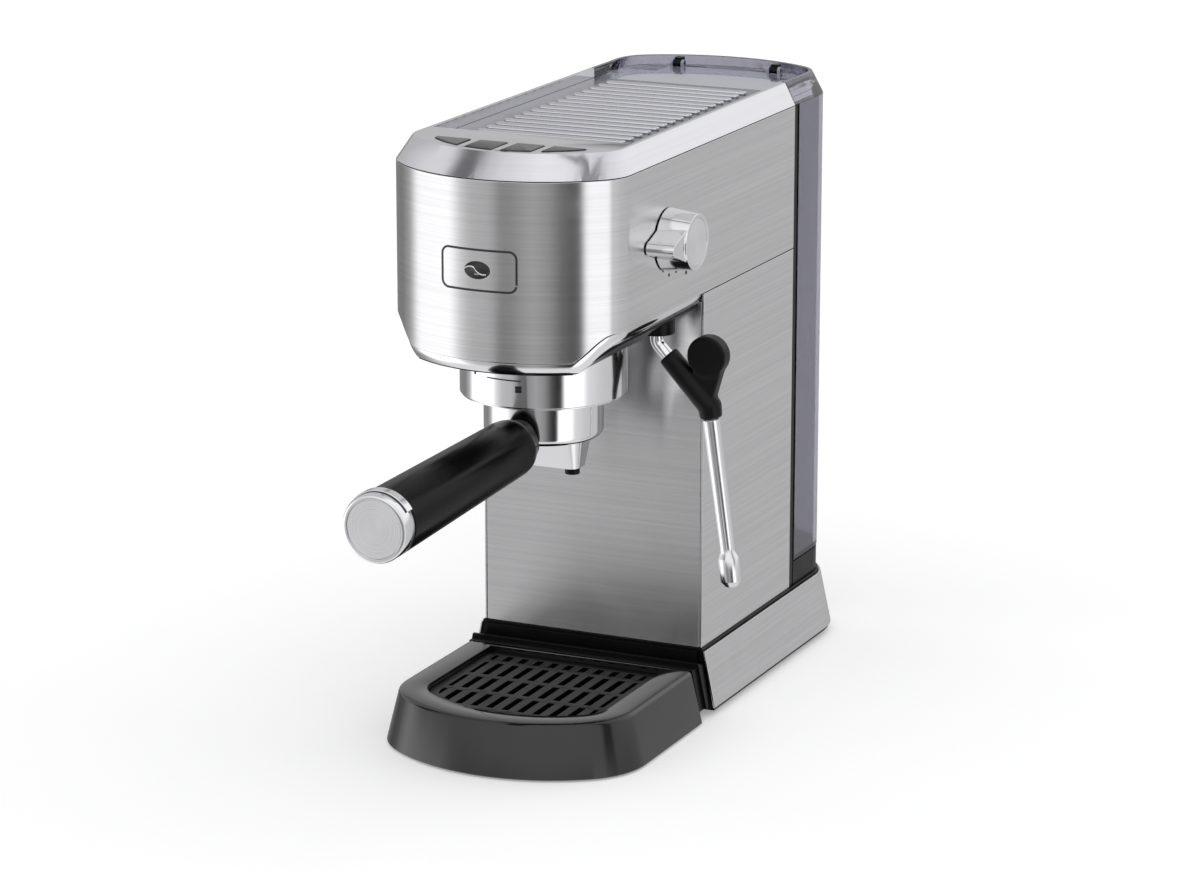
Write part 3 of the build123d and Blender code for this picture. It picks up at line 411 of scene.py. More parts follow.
BLACK = Finish("black_plastic", "black_plastic", (0.003, 0.003, 0.0035), 0.32, 0.0, 0.08, 0.2,
               grain_depth=0.00001, specular=0.15, wear=0.1)
TRAY = Finish("tray_plastic", "tray_plastic", (0.005, 0.005, 0.006), 0.1, 0.0, 0.04, 0.15,
              coat=0.45, specular=0.4, wear=0.1)
GRID = Finish("grid_plastic", "tray_plastic", (0.003, 0.003, 0.0035), 0.3, 0.0, 0.08, 0.15,
              specular=0.12, wear=0.1)
GRIP = Finish("grip_rubber", "grip_rubber", (0.0025, 0.0025, 0.003), 0.2, 0.0, 0.05, 0.2,
              grain_scale=2600.0, grain_depth=0.000008, specular=0.08)
THUMB = Finish("thumb_rubber", "grip_rubber", (0.0035, 0.0035, 0.004), 0.38, 0.0, 0.08, 0.2,
               grain_scale=2600.0, grain_depth=0.00002, specular=0.2)
FOOT = Finish("foot_rubber", "foot_rubber", (0.02, 0.02, 0.02), 0.7, 0.0, 0.1, 0.2, grain_depth=0.0001)
SEAL = Finish("seal_rubber", "seal_rubber", (0.05, 0.02, 0.015), 0.6, 0.0, 0.1, 0.2, grain_depth=0.00006)
SMOKE = ClearFinish("smoked_tank", "smoked_tank", (0.33, 0.325, 0.385), 0.04, 0.0, 0.04, 0.05)
LID = Finish("smoked_lid", "smoked_tank", (0.26, 0.285, 0.36), 0.12, 0.0, 0.06, 0.05, coat=1.0)
KEY = Finish("key_gloss", "key_gloss", (0.022, 0.022, 0.026), 0.16, 0.0, 0.06, 0.1, specular=0.6)
INK = Finish("panel_ink", "black_plastic", (0.02, 0.02, 0.022), 0.45, 0.0, 0.1, 0.15)
CAST = Finish("cast_aluminium", "cast_aluminium", (0.62, 0.62, 0.63), 0.42, 1.0, 0.12, 0.12,
              grain_scale=700.0, grain_depth=0.00012)
SATIN = Finish("satin_sleeve", "polished_chrome", (0.76, 0.76, 0.77), 0.2, 1.0, 0.06, 0.03)
STEEL = Finish("stainless", "stainless", (0.68, 0.68, 0.69), 0.24, 1.0, 0.1, 0.05)
TURNED_CAP = TurnedFinish("turned_cap", "polished_chrome", (0.90, 0.90, 0.91), 0.22, 1.0, 0.03,
                          anisotropy=0.8, contrast=0.08, centre=(0.0, -0.192, 0.1615))
TURNED_KNOB = TurnedFinish("turned_knob", "polished_chrome", (0.86, 0.86, 0.87), 0.24, 1.0, 0.03,
                           anisotropy=0.8, contrast=0.08, centre=(0.082, 0.0121, 0.272))
BOARD = Finish("circuit_board", "circuit_board", (0.02, 0.14, 0.06), 0.4, 0.0, 0.1, 0.2,
               grain_scale=900.0, grain_depth=0.00005)
PUMP = Finish("pump_plastic", "pump_plastic", (0.55, 0.55, 0.52), 0.45, 0.0, 0.1, 0.1, grain_depth=0.00005)
HOSE = Finish("hose_silicone", "hose_silicone", (0.72, 0.72, 0.70), 0.4, 0.0, 0.1, 0.06,
              grain_depth=0.00003)


# ---- making meshes --------------------------------------------------------------------------------------
def verts_of(geom: Sequence[object]) -> list[bmesh.types.BMVert]:
    """The vertices among some geometry."""
    return [part for part in geom if isinstance(part, bmesh.types.BMVert)]


class Pen:
    """Draws a line of edges in a mesh: straight runs and arcs, one after another."""

    def __init__(self, bm: bmesh.types.BMesh, start: Sequence[float]) -> None:
        """Put the first vertex down."""
        self.bm = bm
        self.first = bmesh.ops.create_vert(bm, co=Vector(start))["vert"][0]
        self.last = self.first
        self.edges: Edges = []

    def line(self, x: float, y: float, z: float, cuts: int = 0) -> "Pen":
        """Draw a straight run.

        Args:
            x: where it ends.
            y: where it ends.
            z: where it ends.
            cuts: vertices to put along it.

        Returns:
            This pen.
        """
        step = (Vector((x, y, z)) - self.last.co) / (cuts + 1)
        for _ in range(cuts + 1):
            made = bmesh.ops.extrude_vert_indiv(self.bm, verts=[self.last])
            bmesh.ops.translate(self.bm, verts=made["verts"], vec=step)
            self.edges += made["edges"]
            self.last = made["verts"][0]
        return self

    def arc(self, centre: Sequence[float], axis: Sequence[float], degrees: float, steps: int) -> "Pen":
        """Draw an arc about a centre.

        Args:
            centre: its centre.
            axis: what it turns about.
            degrees: how far it turns.
            steps: how many edges it has.

        Returns:
            This pen.
        """
        known = set(self.bm.edges)
        made = bmesh.ops.spin(self.bm, geom=[self.last], cent=Vector(centre), axis=Vector(axis),
                              angle=math.radians(degrees), steps=steps)
        self.last = verts_of(made["geom_last"])[0]
        self.edges += [edge for edge in self.bm.edges if edge not in known]
        return self

    def close(self) -> Edges:
        """Join the end to the start and return all the edges."""
        if (self.last.co - self.first.co).length < MERGE:
            bmesh.ops.weld_verts(self.bm, targetmap={self.last: self.first})
            self.last = self.first
            self.edges = [edge for edge in self.edges if edge.is_valid]
        else:
            self.edges.append(self.bm.edges.new((self.last, self.first)))
        return self.edges


@dataclass(frozen=True)
class Dee:
    """A plan with a bowed end, rounded corners and a straight end across it."""

    half: float
    tip: float         # middle of the bowed end
    bow: float
    corner: float
    back: float        # the straight end
    way: int = -1      # -1 when the bowed end is the front, +1 when it is the rear

    def grown(self, out: float, back: float = 0.0, tip: Optional[float] = None) -> "Dee":
        """This plan moved outwards.

        Args:
            out: how far the sides move.
            back: how far the straight end moves.
            tip: how far the bowed end moves, when that differs.

        Returns:
            The moved plan.
        """
        tip = out if tip is None else tip
        return Dee(self.half + out, self.tip + self.way * tip, self.bow + out, self.corner + out,
                   self.back - self.way * back, self.way)

    def trace(self, bm: bmesh.types.BMesh, z: float) -> Edges:
        """Draw this plan at a height, without its straight end, and return its edges."""
        way = self.way
        bow_y = self.tip - way * self.bow
        inner = self.half - self.corner
        reach = math.sqrt((self.bow - self.corner) ** 2 - inner ** 2)
        corner_y = bow_y + way * reach
        turn = math.degrees(math.atan2(inner, reach))
        pen = Pen(bm, (self.half, self.back, z))
        pen.line(self.half, corner_y, z)
        pen.arc((inner, corner_y, z), UP, way * (90 - turn), CORNER_STEPS)
        pen.arc((0, bow_y, z), UP, way * 2 * turn, BOW_STEPS)
        pen.arc((-inner, corner_y, z), UP, way * (90 - turn), CORNER_STEPS)
        pen.line(-self.half, self.back, z)
        return pen.edges


class Shape:
    """A mesh in the making, in millimetres."""

    def __init__(self) -> None:
        """Start with an empty mesh."""
        self.bm = bmesh.new()

    def pen(self, *start: float) -> Pen:
        """A pen that starts at a point."""
        return Pen(self.bm, start)

    def loft(self, loops: Sequence[Edges]) -> "Shape":
        """Join each loop to the next one."""
        for near, far in zip(loops, loops[1:]):
            bmesh.ops.bridge_loops(self.bm, edges=near + far)
        return self

    def drum(self, plans: Sequence[tuple[Dee, float]]) -> "Shape":
        """A closed body through plans, one after another.

        Args:
            plans: each plan with its height.

        Returns:
            This shape.
        """
        loops = [plan.trace(self.bm, z) for plan, z in plans]
        self.loft(loops)
        drawn = {edge for loop in loops for edge in loop}
        ends = [edge for edge in self.bm.edges if edge.is_boundary and edge not in drawn]
        bmesh.ops.bridge_loops(self.bm, edges=ends)
        return self.cap()

    def wedge(self, profile: Sequence[tuple[float, float]], start: float, sweep: float,
              steps: int) -> "Shape":
        """Part of a ring about the upright axis, closed at both ends.

        Args:
            profile: radius and height of each corner.
            start: where it starts, in degrees from +X.
            sweep: how far it goes round, in degrees.
            steps: how many steps that takes.

        Returns:
            This shape.
        """
        face = bmesh.ops.contextual_create(self.bm, geom=self.outline(profile))["faces"]
        self.move(Matrix.Rotation(math.radians(start), 4, "Z"))
        bmesh.ops.spin(self.bm, geom=face, cent=ORIGIN, axis=UP, angle=math.radians(sweep), steps=steps)
        return self

    def outline(self, profile: Sequence[tuple[float, float]]) -> Edges:
        """Draw a closed profile, given by the radius and height of each corner, and return its edges."""
        radius, z = profile[0]
        pen = self.pen(radius, 0, z)
        for radius, z in profile[1:]:
            pen.line(radius, 0, z)
        return pen.close()

    def spin(self, edges: Edges, steps: int, degrees: float = 360.0) -> "Shape":
        """Turn a profile about the upright axis.

        Args:
            edges: the profile.
            steps: how many steps it takes.
            degrees: how far it turns.

        Returns:
            This shape.
        """
        verts = list({vert for edge in edges for vert in edge.verts})
        bmesh.ops.spin(self.bm, geom=verts + list(edges), cent=ORIGIN, axis=UP, angle=math.radians(degrees),
                       steps=steps, use_merge=degrees >= 360.0)
        return self

    def turned(self, profile: Sequence[tuple[float, float]], steps: int) -> "Shape":
        """A turned piece about the upright axis, from the radius and height of each corner."""
        self.spin(self.outline(profile), steps)
        bmesh.ops.remove_doubles(self.bm, verts=self.bm.verts, dist=MERGE)
        return self

    def disc(self, centre: Point, axis: Point, radius: float, depth: float, segments: int = 64) -> "Shape":
        """A round slab.

        Args:
            centre: its middle.
            axis: its direction.
            radius: its radius.
            depth: its thickness.
            segments: how many sides it has.

        Returns:
            This shape.
        """
        turn = Vector((0, 0, 1)).rotation_difference(Vector(axis)).to_matrix().to_4x4()
        bmesh.ops.create_cone(self.bm, cap_ends=True, segments=segments, radius1=radius, radius2=radius,
                              depth=depth, matrix=Matrix.Translation(Vector(centre)) @ turn)
        return self

    def rise(self, height: float) -> "Shape":
        """Make every face a slab of a height."""
        made = bmesh.ops.extrude_face_region(self.bm, geom=self.bm.faces[:])
        bmesh.ops.translate(self.bm, vec=(0, 0, height), verts=verts_of(made["geom"]))
        return self

    def cap(self) -> "Shape":
        """Close every hole."""
        bmesh.ops.holes_fill(self.bm, edges=[edge for edge in self.bm.edges if edge.is_boundary], sides=0)
        return self

    def cut(self, point: Point, normal: Point) -> "Shape":
        """Cut away what lies beyond a plane, on the side that its normal points to, and close the cut."""
        geom = self.bm.verts[:] + self.bm.edges[:] + self.bm.faces[:]
        made = bmesh.ops.bisect_plane(self.bm, geom=geom, dist=MERGE, plane_co=Vector(point),
                                      plane_no=Vector(normal), clear_outer=True)
        rim = [part for part in made["geom_cut"] if isinstance(part, bmesh.types.BMEdge)]
        bmesh.ops.holes_fill(self.bm, edges=rim, sides=0)
        return self

    def move(self, matrix: Matrix) -> "Shape":
        """Move everything by a matrix."""
        bmesh.ops.transform(self.bm, matrix=matrix, verts=self.bm.verts)
        return self

    def bend(self, rule: Callable[[Vector], Vector]) -> "Shape":
        """Move each vertex by a rule."""
        for vert in self.bm.verts:
            vert.co = rule(vert.co)
        return self

    def thing(self, name: str) -> bpy.types.Object:
        """Turn this shape into an object of the scene, in metres, with its faces pointing outwards."""
        bmesh.ops.recalc_face_normals(self.bm, faces=self.bm.faces)
        bmesh.ops.scale(self.bm, vec=(MM, MM, MM), verts=self.bm.verts)
        mesh = bpy.data.meshes.new(name)
        self.bm.to_mesh(mesh)
        self.bm.free()
        made = bpy.data.objects.new(name, mesh)
        bpy.context.scene.collection.objects.link(made)
        return made

    def piece(self, name: str, finish: Finish, body: str, replaces: Sequence[str] = (), *,
              sheet: float = 0.0, side: float = -1.0, bevel: float = 0.3, segments: int = 3,
              angle: float = 32.0, carve: Sequence["Shape"] = ()) -> bpy.types.Object:
        """Finish this shape as a piece of the machine.

        Args:
            name: the piece's name.
            finish: what it is made of.
            body: the CAD body that it rides on.
            replaces: the CAD nodes that it stands for.
            sheet: thickness to give an open surface.
            side: -1 when the thickness goes inwards, 1 when it goes outwards.
            bevel: radius of its edges.
            segments: faces across each rounded edge.
            angle: edges sharper than this are rounded, in degrees.
            carve: shapes that are cut out of it.

        Returns:
            The piece.
        """
        made = self.thing(name)
        for i, tool in enumerate(carve):
            cutter = tool.thing(f"{name}_cutter_{i}")
            cut = made.modifiers.new("Carve", "BOOLEAN")
            cut.operation = "DIFFERENCE"
            cut.solver = "EXACT"
            cut.object = cutter
            settle(made)
            bpy.data.objects.remove(cutter)
        return complete(made, finish, body, replaces, sheet=sheet, side=side, bevel=bevel,
                        segments=segments, angle=angle)


def settle(thing: bpy.types.Object) -> None:
    """Bake an object's modifiers into its mesh."""
    bpy.context.view_layer.update()
    depsgraph = bpy.context.evaluated_depsgraph_get()
    mesh = bpy.data.meshes.new_from_object(thing.evaluated_get(depsgraph), depsgraph=depsgraph)
    thing.modifiers.clear()
    thing.data = mesh


def complete(made: bpy.types.Object, finish: Finish, body: str, replaces: Sequence[str] = (), *,
             sheet: float = 0.0, side: float = -1.0, bevel: float = 0.3, segments: int = 3,
             angle: float = 32.0) -> bpy.types.Object:
    """Round, shade and dress an object, and fix it to its body.

    Args:
        made: the object.
        finish: what it is made of.
        body: the CAD body that it rides on.
        replaces: the CAD nodes that it stands for.
        sheet: thickness to give an open surface.
        side: -1 when the thickness goes inwards, 1 when it goes outwards.
        bevel: radius of its edges.
        segments: faces across each rounded edge.
        angle: edges sharper than this are rounded, in degrees.

    Returns:
        The same object.
    """
    if sheet:
        solid = made.modifiers.new("Sheet", "SOLIDIFY")
        solid.thickness = sheet * MM
        solid.offset = side
        solid.use_even_offset = True
    if bevel:
        edge = made.modifiers.new("Edges", "BEVEL")
        edge.width = bevel * MM
        edge.segments = segments
        edge.limit_method = "ANGLE"
        edge.angle_limit = math.radians(angle)
        edge.harden_normals = True
        edge.miter_outer = "MITER_ARC"
    made.data.shade_smooth()
    made.data.set_sharp_from_angle(angle=math.radians(angle))
    finish.dress(made)
    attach(made, body)
    if replaces:
        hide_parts(*replaces)
    return made


def copied(node: str, divided: bool) -> Shape:
    """A CAD node's mesh as a shape.

    Args:
        node: the CAD node.
        divided: whether its flat faces stay divided.

    Returns:
        The shape.
    """
    copy = Shape()
    copy.bm.from_mesh(frame["nodes"][node].data)
    bmesh.ops.remove_doubles(copy.bm, verts=copy.bm.verts, dist=COPY_MERGE)
    if not divided:
        bmesh.ops.dissolve_limit(copy.bm, angle_limit=math.radians(FLAT), verts=copy.bm.verts,
                                 edges=copy.bm.edges)
    bmesh.ops.scale(copy.bm, vec=(1 / MM,) * 3, verts=copy.bm.verts)
    return copy


def refined(node: str, finish: Finish, body: str, *, bevel: float = 0.3, segments: int = 2,
            holed: bool = False) -> None:
    """A copy of a CAD node with merged faces and rounded edges.

    Args:
        node: the CAD node.
        finish: what it is made of.
        body: the body that it rides on.
        bevel: radius of its edges.
        segments: faces across each rounded edge.
        holed: whether its flat faces have many holes, so they stay divided.
    """
    copied(node, holed).piece(f"{node}_cover", finish, body, [node], bevel=bevel, segments=segments)


def dress_nodes(finish: Finish, *nodes: str) -> None:
    """Give CAD nodes that stay as they are a finish."""
    for node in nodes:
        finish.dress(frame["nodes"][node])


def smooth_step(value: float) -> float:
    """0 below 0, 1 above 1, and an even S between."""
    value = min(1.0, max(0.0, value))
    return value * value * (3 - 2 * value)


# ---- the machine's own sizes ------------------------------------------------------------------------------
BODY = Dee(65.0, -75.5, 80.0, 24.0, 185.4)
REAR = Dee(65.0, 260.0, 100.0, 30.0, 191.4, 1)
COLUMN_Y = 60.5
RIM_Z = 313.7
TOP_Z = 325.7
RIM_SIDE = 6.2
RIM_FRONT = 12.0
RAIL = 2.3
RECESS = 5.4
HEAD_LOW = 220.0
HEAD_HIGH = 233.7
HEAD_FLAT = 43.5
HEAD_RISE = 62.0
KEYS = ("key_power", "key_one_cup", "key_two_cups", "key_steam")


def rim_top(inset: float = 0.0) -> Dee:
    """The plan of the rim's flat top, moved inwards."""
    return BODY.grown(-RIM_SIDE - inset, tip=-RIM_FRONT - inset)


def head_edge(x: float) -> float:
    """Height of the head's lower edge: low at the front, rising in an S to the sides."""
    return HEAD_LOW + (HEAD_HIGH - HEAD_LOW) * smooth_step((abs(x) - HEAD_FLAT) / (HEAD_RISE - HEAD_FLAT))


def follow_edge(loop: Edges, drop: float) -> None:
    """Move a loop's vertices to a distance below the head's lower edge."""
    for vert in {vert for edge in loop for vert in edge.verts}:
        vert.co.z = head_edge(vert.co.x) - drop


@dataclass
class Head:
    """The wrap-round head with its badge, chrome trim and floor."""

    sheet: float = 1.2
    badge_x: float = -1.0
    badge_z: float = 267.0
    badge_size: tuple[float, float] = (43.0, 22.0)
    badge_corner: float = 4.5
    line: float = 1.1            # width of the badge's outline
    bean: tuple[float, float] = (7.2, 4.6)

    def band(self, profile: Sequence[tuple[float, float]], back: float) -> Shape:
        """A band that follows the head's lower edge.

        Args:
            profile: for each row, how far outside the panels it is and how far below the edge.
            back: where its ends are.

        Returns:
            The band.
        """
        shape = Shape()
        plan = replace(BODY, back=back)
        loops = []
        for out, drop in profile:
            loop = plan.grown(out).trace(shape.bm, 0)
            follow_edge(loop, drop)
            loops.append(loop)
        return shape.loft(loops)

    def shell(self) -> None:
        """The brushed panel that wraps round the head."""
        shape = Shape()
        high = BODY.trace(shape.bm, RIM_Z - 0.5)
        low = BODY.trace(shape.bm, HEAD_LOW)
        follow_edge(low, 0.0)
        shape.loft([high, low])
        shape.piece("head_panel", PANEL, "machine", ["head_shell"], sheet=self.sheet, bevel=0.28)

    def trim(self) -> None:
        """The chrome band that leans in under the panel."""
        profile = [(-1.5, 0.4), (-1.5, 1.6), (-1.9, 3.2), (-2.7, 4.8), (-3.9, 6.2), (-5.2, 7.0)]
        band = self.band(profile, COLUMN_Y - 0.6)
        band.piece("head_trim_band", CHROME, "machine", ["head_trim"], sheet=1.0, bevel=0.2)

    def badge(self) -> None:
        """A dark outline with a coffee bean in it, laid on the panel."""
        width, height = self.badge_size
        bow_y = BODY.tip + BODY.bow

        def bent(lift: float) -> Callable[[Vector], Vector]:
            """The rule that lays a flat shape on the panel."""
            def rule(co: Vector) -> Vector:
                """Lay one point down."""
                radius = BODY.bow + lift - co.y
                return Vector((co.x, bow_y - math.sqrt(radius ** 2 - co.x ** 2), co.z))
            return rule

        def outline(shape: Shape, inset: float) -> Edges:
            """A rounded rectangle round the badge's middle."""
            half_w, half_h = width / 2 - inset, height / 2 - inset
            corner = self.badge_corner - inset
            x, z = self.badge_x, self.badge_z
            pen = shape.pen(x + half_w, 0, z - half_h + corner)
            for sx, sz in ((1, 1), (-1, 1), (-1, -1), (1, -1)):
                mid = (x + sx * (half_w - corner), 0, z + sz * (half_h - corner))
                if sx * sz > 0:
                    pen.line(x + sx * half_w, 0, mid[2], 3)
                else:
                    pen.line(mid[0], 0, z + sz * half_h, 16)
                pen.arc(mid, (0, -1, 0), 90, 8)
            return pen.close()

        line = Shape()
        line.loft([outline(line, 0.0), outline(line, self.line)])
        line.bend(bent(0.2))
        line.piece("badge_line", INK, "machine", ["badge"], sheet=0.18, bevel=0.05)
        bean = Shape()
        bmesh.ops.create_circle(bean.bm, cap_ends=True, segments=48, radius=1.0)
        bean.move(Matrix.Rotation(math.radians(90), 4, "X") @ Matrix.Diagonal((*self.bean, 1.0, 1.0)))
        bean.move(Matrix.Translation((self.badge_x, 0, self.badge_z)))
        bean.bend(bent(0.22))
        bean.piece("badge_bean", INK, "machine", ["badge"], sheet=0.1, bevel=0.0)
        seam = Shape()
        pen = seam.pen(self.badge_x - 7.4, 0, self.badge_z - 0.4)
        pen.arc((self.badge_x - 3.7, 0, self.badge_z - 3.4), (0, 1, 0), 78, 10)
        pen.arc((self.badge_x + 3.7, 0, self.badge_z + 3.2), (0, -1, 0), 80, 10)
        made = bmesh.ops.extrude_edge_only(seam.bm, edges=pen.edges)
        bmesh.ops.translate(seam.bm, vec=(0, 0, 0.8),
                            verts=verts_of(made["geom"]))
        seam.bend(bent(0.3))
        seam.piece("badge_bean_seam", PANEL, "machine", ["badge"], sheet=0.1, bevel=0.0)

    def build(self) -> None:
        """Build and dress the head."""
        self.shell()
        self.trim()
        self.badge()
        refined("head_floor", BLACK, "machine", bevel=0.2)


@dataclass
class Top:
    """The chamfered rim, the ribbed cup plate and the keys."""

    ribs: int = 17
    pitch: float = 10.7
    rib_width: float = 4.8
    rib_height: float = 1.7
    rib_half: float = 42.3
    first: float = -1.0
    sink: float = 0.4            # how far the ribs reach down into the plate
    front: float = -14.0         # where the plate ends behind the keys

    def plate(self) -> None:
        """The plate that cups are warmed on, with its rounded ribs; the sheet between the ribs is painted
        darker, as shade in the channels.
        """
        floor = TOP_Z - RECESS
        base = Shape()
        plan = rim_top(RAIL + 0.3)
        base.drum([(plan, floor - 2.0), (plan, floor)])
        base.cut((0, self.front, 0), (0, -1, 0))
        # The sheet gets the darker steel: painted shade between the ribs.
        base.piece("cup_plate_sheet", PLATE_PAINTED_SHADE, "machine", ["cup_plate"], bevel=0.15)
        ribs = Shape()
        for i in range(self.ribs):
            y = self.first + i * self.pitch
            half = self.rib_width / 2
            end = self.rib_half - half
            low = floor - self.sink
            pen = ribs.pen(-end, y - half, low)
            pen.arc((-end, y, low), UP, -180, 10)
            pen.line(end, y + half, low)
            pen.arc((end, y, low), UP, -180, 10)
            bmesh.ops.contextual_create(ribs.bm, geom=pen.close())
        ribs.rise(self.rib_height + self.sink)
        ribs.piece("cup_plate_ribs", RIB, "machine", ["cup_plate"], bevel=1.1, segments=4)

    def build(self) -> None:
        """Build and dress the top."""
        refined("top_rim", RIM, "machine", bevel=0.45, segments=3)
        self.plate()
        for node in KEYS:
            refined(node, KEY, f"{node}_body", bevel=0.5, segments=3)
        dress_nodes(BOARD, "control_board")


@dataclass
class Column:
    """The column's sheets, the black back wall and the welded frame."""

    def build(self) -> None:
        """Build and dress the column."""
        for node in ("column_front", "column_side_left", "column_side_right"):
            refined(node, PANEL, "machine", bevel=0.3)
        refined("back_wall", BLACK, "machine", bevel=0.4)
        dress_nodes(STEEL, "inner_frame")


@dataclass
class Base:
    """The pan, the flared skirt, the front moulding, the deck, the feet and the gland."""

    low: float = 5.0
    high: float = 36.0
    flare_low: float = 8.7
    flare_high: float = 2.3

    def skirt(self) -> None:
        """The brushed skirt that flares out to the counter."""
        shape = Shape()
        plan = replace(REAR, back=COLUMN_Y - 1.0)
        shape.loft([plan.grown(self.flare_low).trace(shape.bm, self.low),
                    plan.grown(self.flare_high).trace(shape.bm, self.high)])
        shape.piece("base_skirt_sheet", SKIRT, "machine", ["base_skirt"], sheet=1.2, bevel=0.35)

    def build(self) -> None:
        """Build and dress the base."""
        self.skirt()
        refined("base_pan", BLACK, "machine", bevel=0.3)
        refined("base_front", BLACK, "machine", bevel=0.5, segments=3)
        refined("base_deck", BLACK, "machine", bevel=0.3)
        refined("rubber_feet", FOOT, "machine", bevel=0.6)
        refined("cord_gland", BLACK, "machine", bevel=0.5)
        dress_nodes(STEEL, "base_screws")


@dataclass
class Tank:
    """The smoked tank with its rim, lid, hinge tabs, dock and outlet valve."""

    wall: float = 2.2
    foot: float = 52.0
    outlet_r: float = 4.5
    valve_y: float = 222.0
    spring_low: float = 57.3
    spring_high: float = 71.9
    coil_r: float = 2.9
    wire: float = 0.9
    turns: float = 5.5
    lift: float = 3.0            # how far the outlet valve rises

    def vessel(self) -> None:
        """The clear vessel: one closed body with an outer and an inner face."""
        shape = Shape()
        inner = REAR.grown(-self.wall, -self.wall)
        top = RIM_Z - 0.05
        plans = [(REAR, self.foot), (REAR, top), (inner, top), (inner, self.foot + self.wall)]
        shape.drum(plans)
        hole = Shape().disc((0, self.valve_y, self.foot), UP, self.outlet_r, 20.0)
        shape.piece("tank_vessel", SMOKE, "tank", ["water_tank"], bevel=0.6, carve=[hole])

    def spring(self) -> None:
        """The coil spring that closes the outlet valve, made at one length."""
        low, high, steps = self.spring_low, self.spring_high, 24
        count = round(self.turns * steps)
        coil = Shape()
        bmesh.ops.create_circle(coil.bm, cap_ends=False, segments=10, radius=self.wire / 2)
        coil.move(Matrix.Translation((self.coil_r, self.valve_y, low + self.wire / 2))
                  @ Matrix.Rotation(math.radians(90), 4, "X"))
        bmesh.ops.spin(coil.bm, geom=coil.bm.verts[:] + coil.bm.edges[:], cent=(0, self.valve_y, 0),
                       axis=UP, dvec=(0, 0, (high - low - self.wire) / count),
                       angle=math.radians(360 * self.turns), steps=count)
        made = coil.cap().piece("valve_coil", STEEL, "tank", ["valve_spring"], bevel=0.0, angle=60.0)
        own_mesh(made)

    def build(self) -> None:
        """Build and dress the tank."""
        self.vessel()
        refined("tank_rim", SMOKE, "tank", bevel=0.4, segments=3)
        refined("tank_lid", LID, "lid", bevel=0.25)
        refined("lid_tabs", BLACK, "tank", bevel=0.2)
        refined("tank_dock", BLACK, "machine", bevel=0.4)
        dress_nodes(BLACK, "valve_cage")
        dress_nodes(SEAL, "tank_valve")
        self.spring()


@dataclass
class Group:
    """The bayonet collar and what it holds."""

    radius: float = 44.0
    low: float = 187.5
    high: float = 216.0
    bore: float = 37.0
    mouth: float = 33.0

    def mark(self, name: str, z: float, height: float, start: float, sweep: float) -> None:
        """A dark printed strip that lies on the collar.

        Args:
            name: the strip's name.
            z: its middle height.
            height: its width.
            start: where it starts, in degrees from +X.
            sweep: how far it goes round.
        """
        shape = Shape()
        turn = math.radians(start)
        reach = self.radius + 0.06
        place = (reach * math.cos(turn), reach * math.sin(turn))
        pen = shape.pen(*place, z - height / 2)
        pen.line(*place, z + height / 2)
        shape.spin(pen.edges, 12, sweep)
        shape.piece(name, INK, "machine", sheet=0.05, bevel=0.0)

    def build(self) -> None:
        """Build and dress the group."""
        radius, low, lip = self.radius, self.low, self.low + 3.0
        step = radius - 0.8
        ring = Shape().turned([(self.mouth, low), (step, low), (step, low + 0.9), (radius, low + 1.1),
                               (radius, self.high), (self.bore, self.high), (self.bore, lip),
                               (self.mouth, lip)], 128)
        ring.piece("collar_ring", CHROME, "machine", ["group_collar"], bevel=0.35)
        self.mark("collar_arc", 203.0, 0.7, -106.0, 26.0)
        self.mark("collar_start", 205.5, 5.0, -119.0, 2.0)
        self.mark("collar_lock", 198.5, 3.4, -84.0, 4.6)
        dress_nodes(CAST, "group_head")
        dress_nodes(SEAL, "group_gasket")
        dress_nodes(STEEL, "shower_screen", "shower_screw")


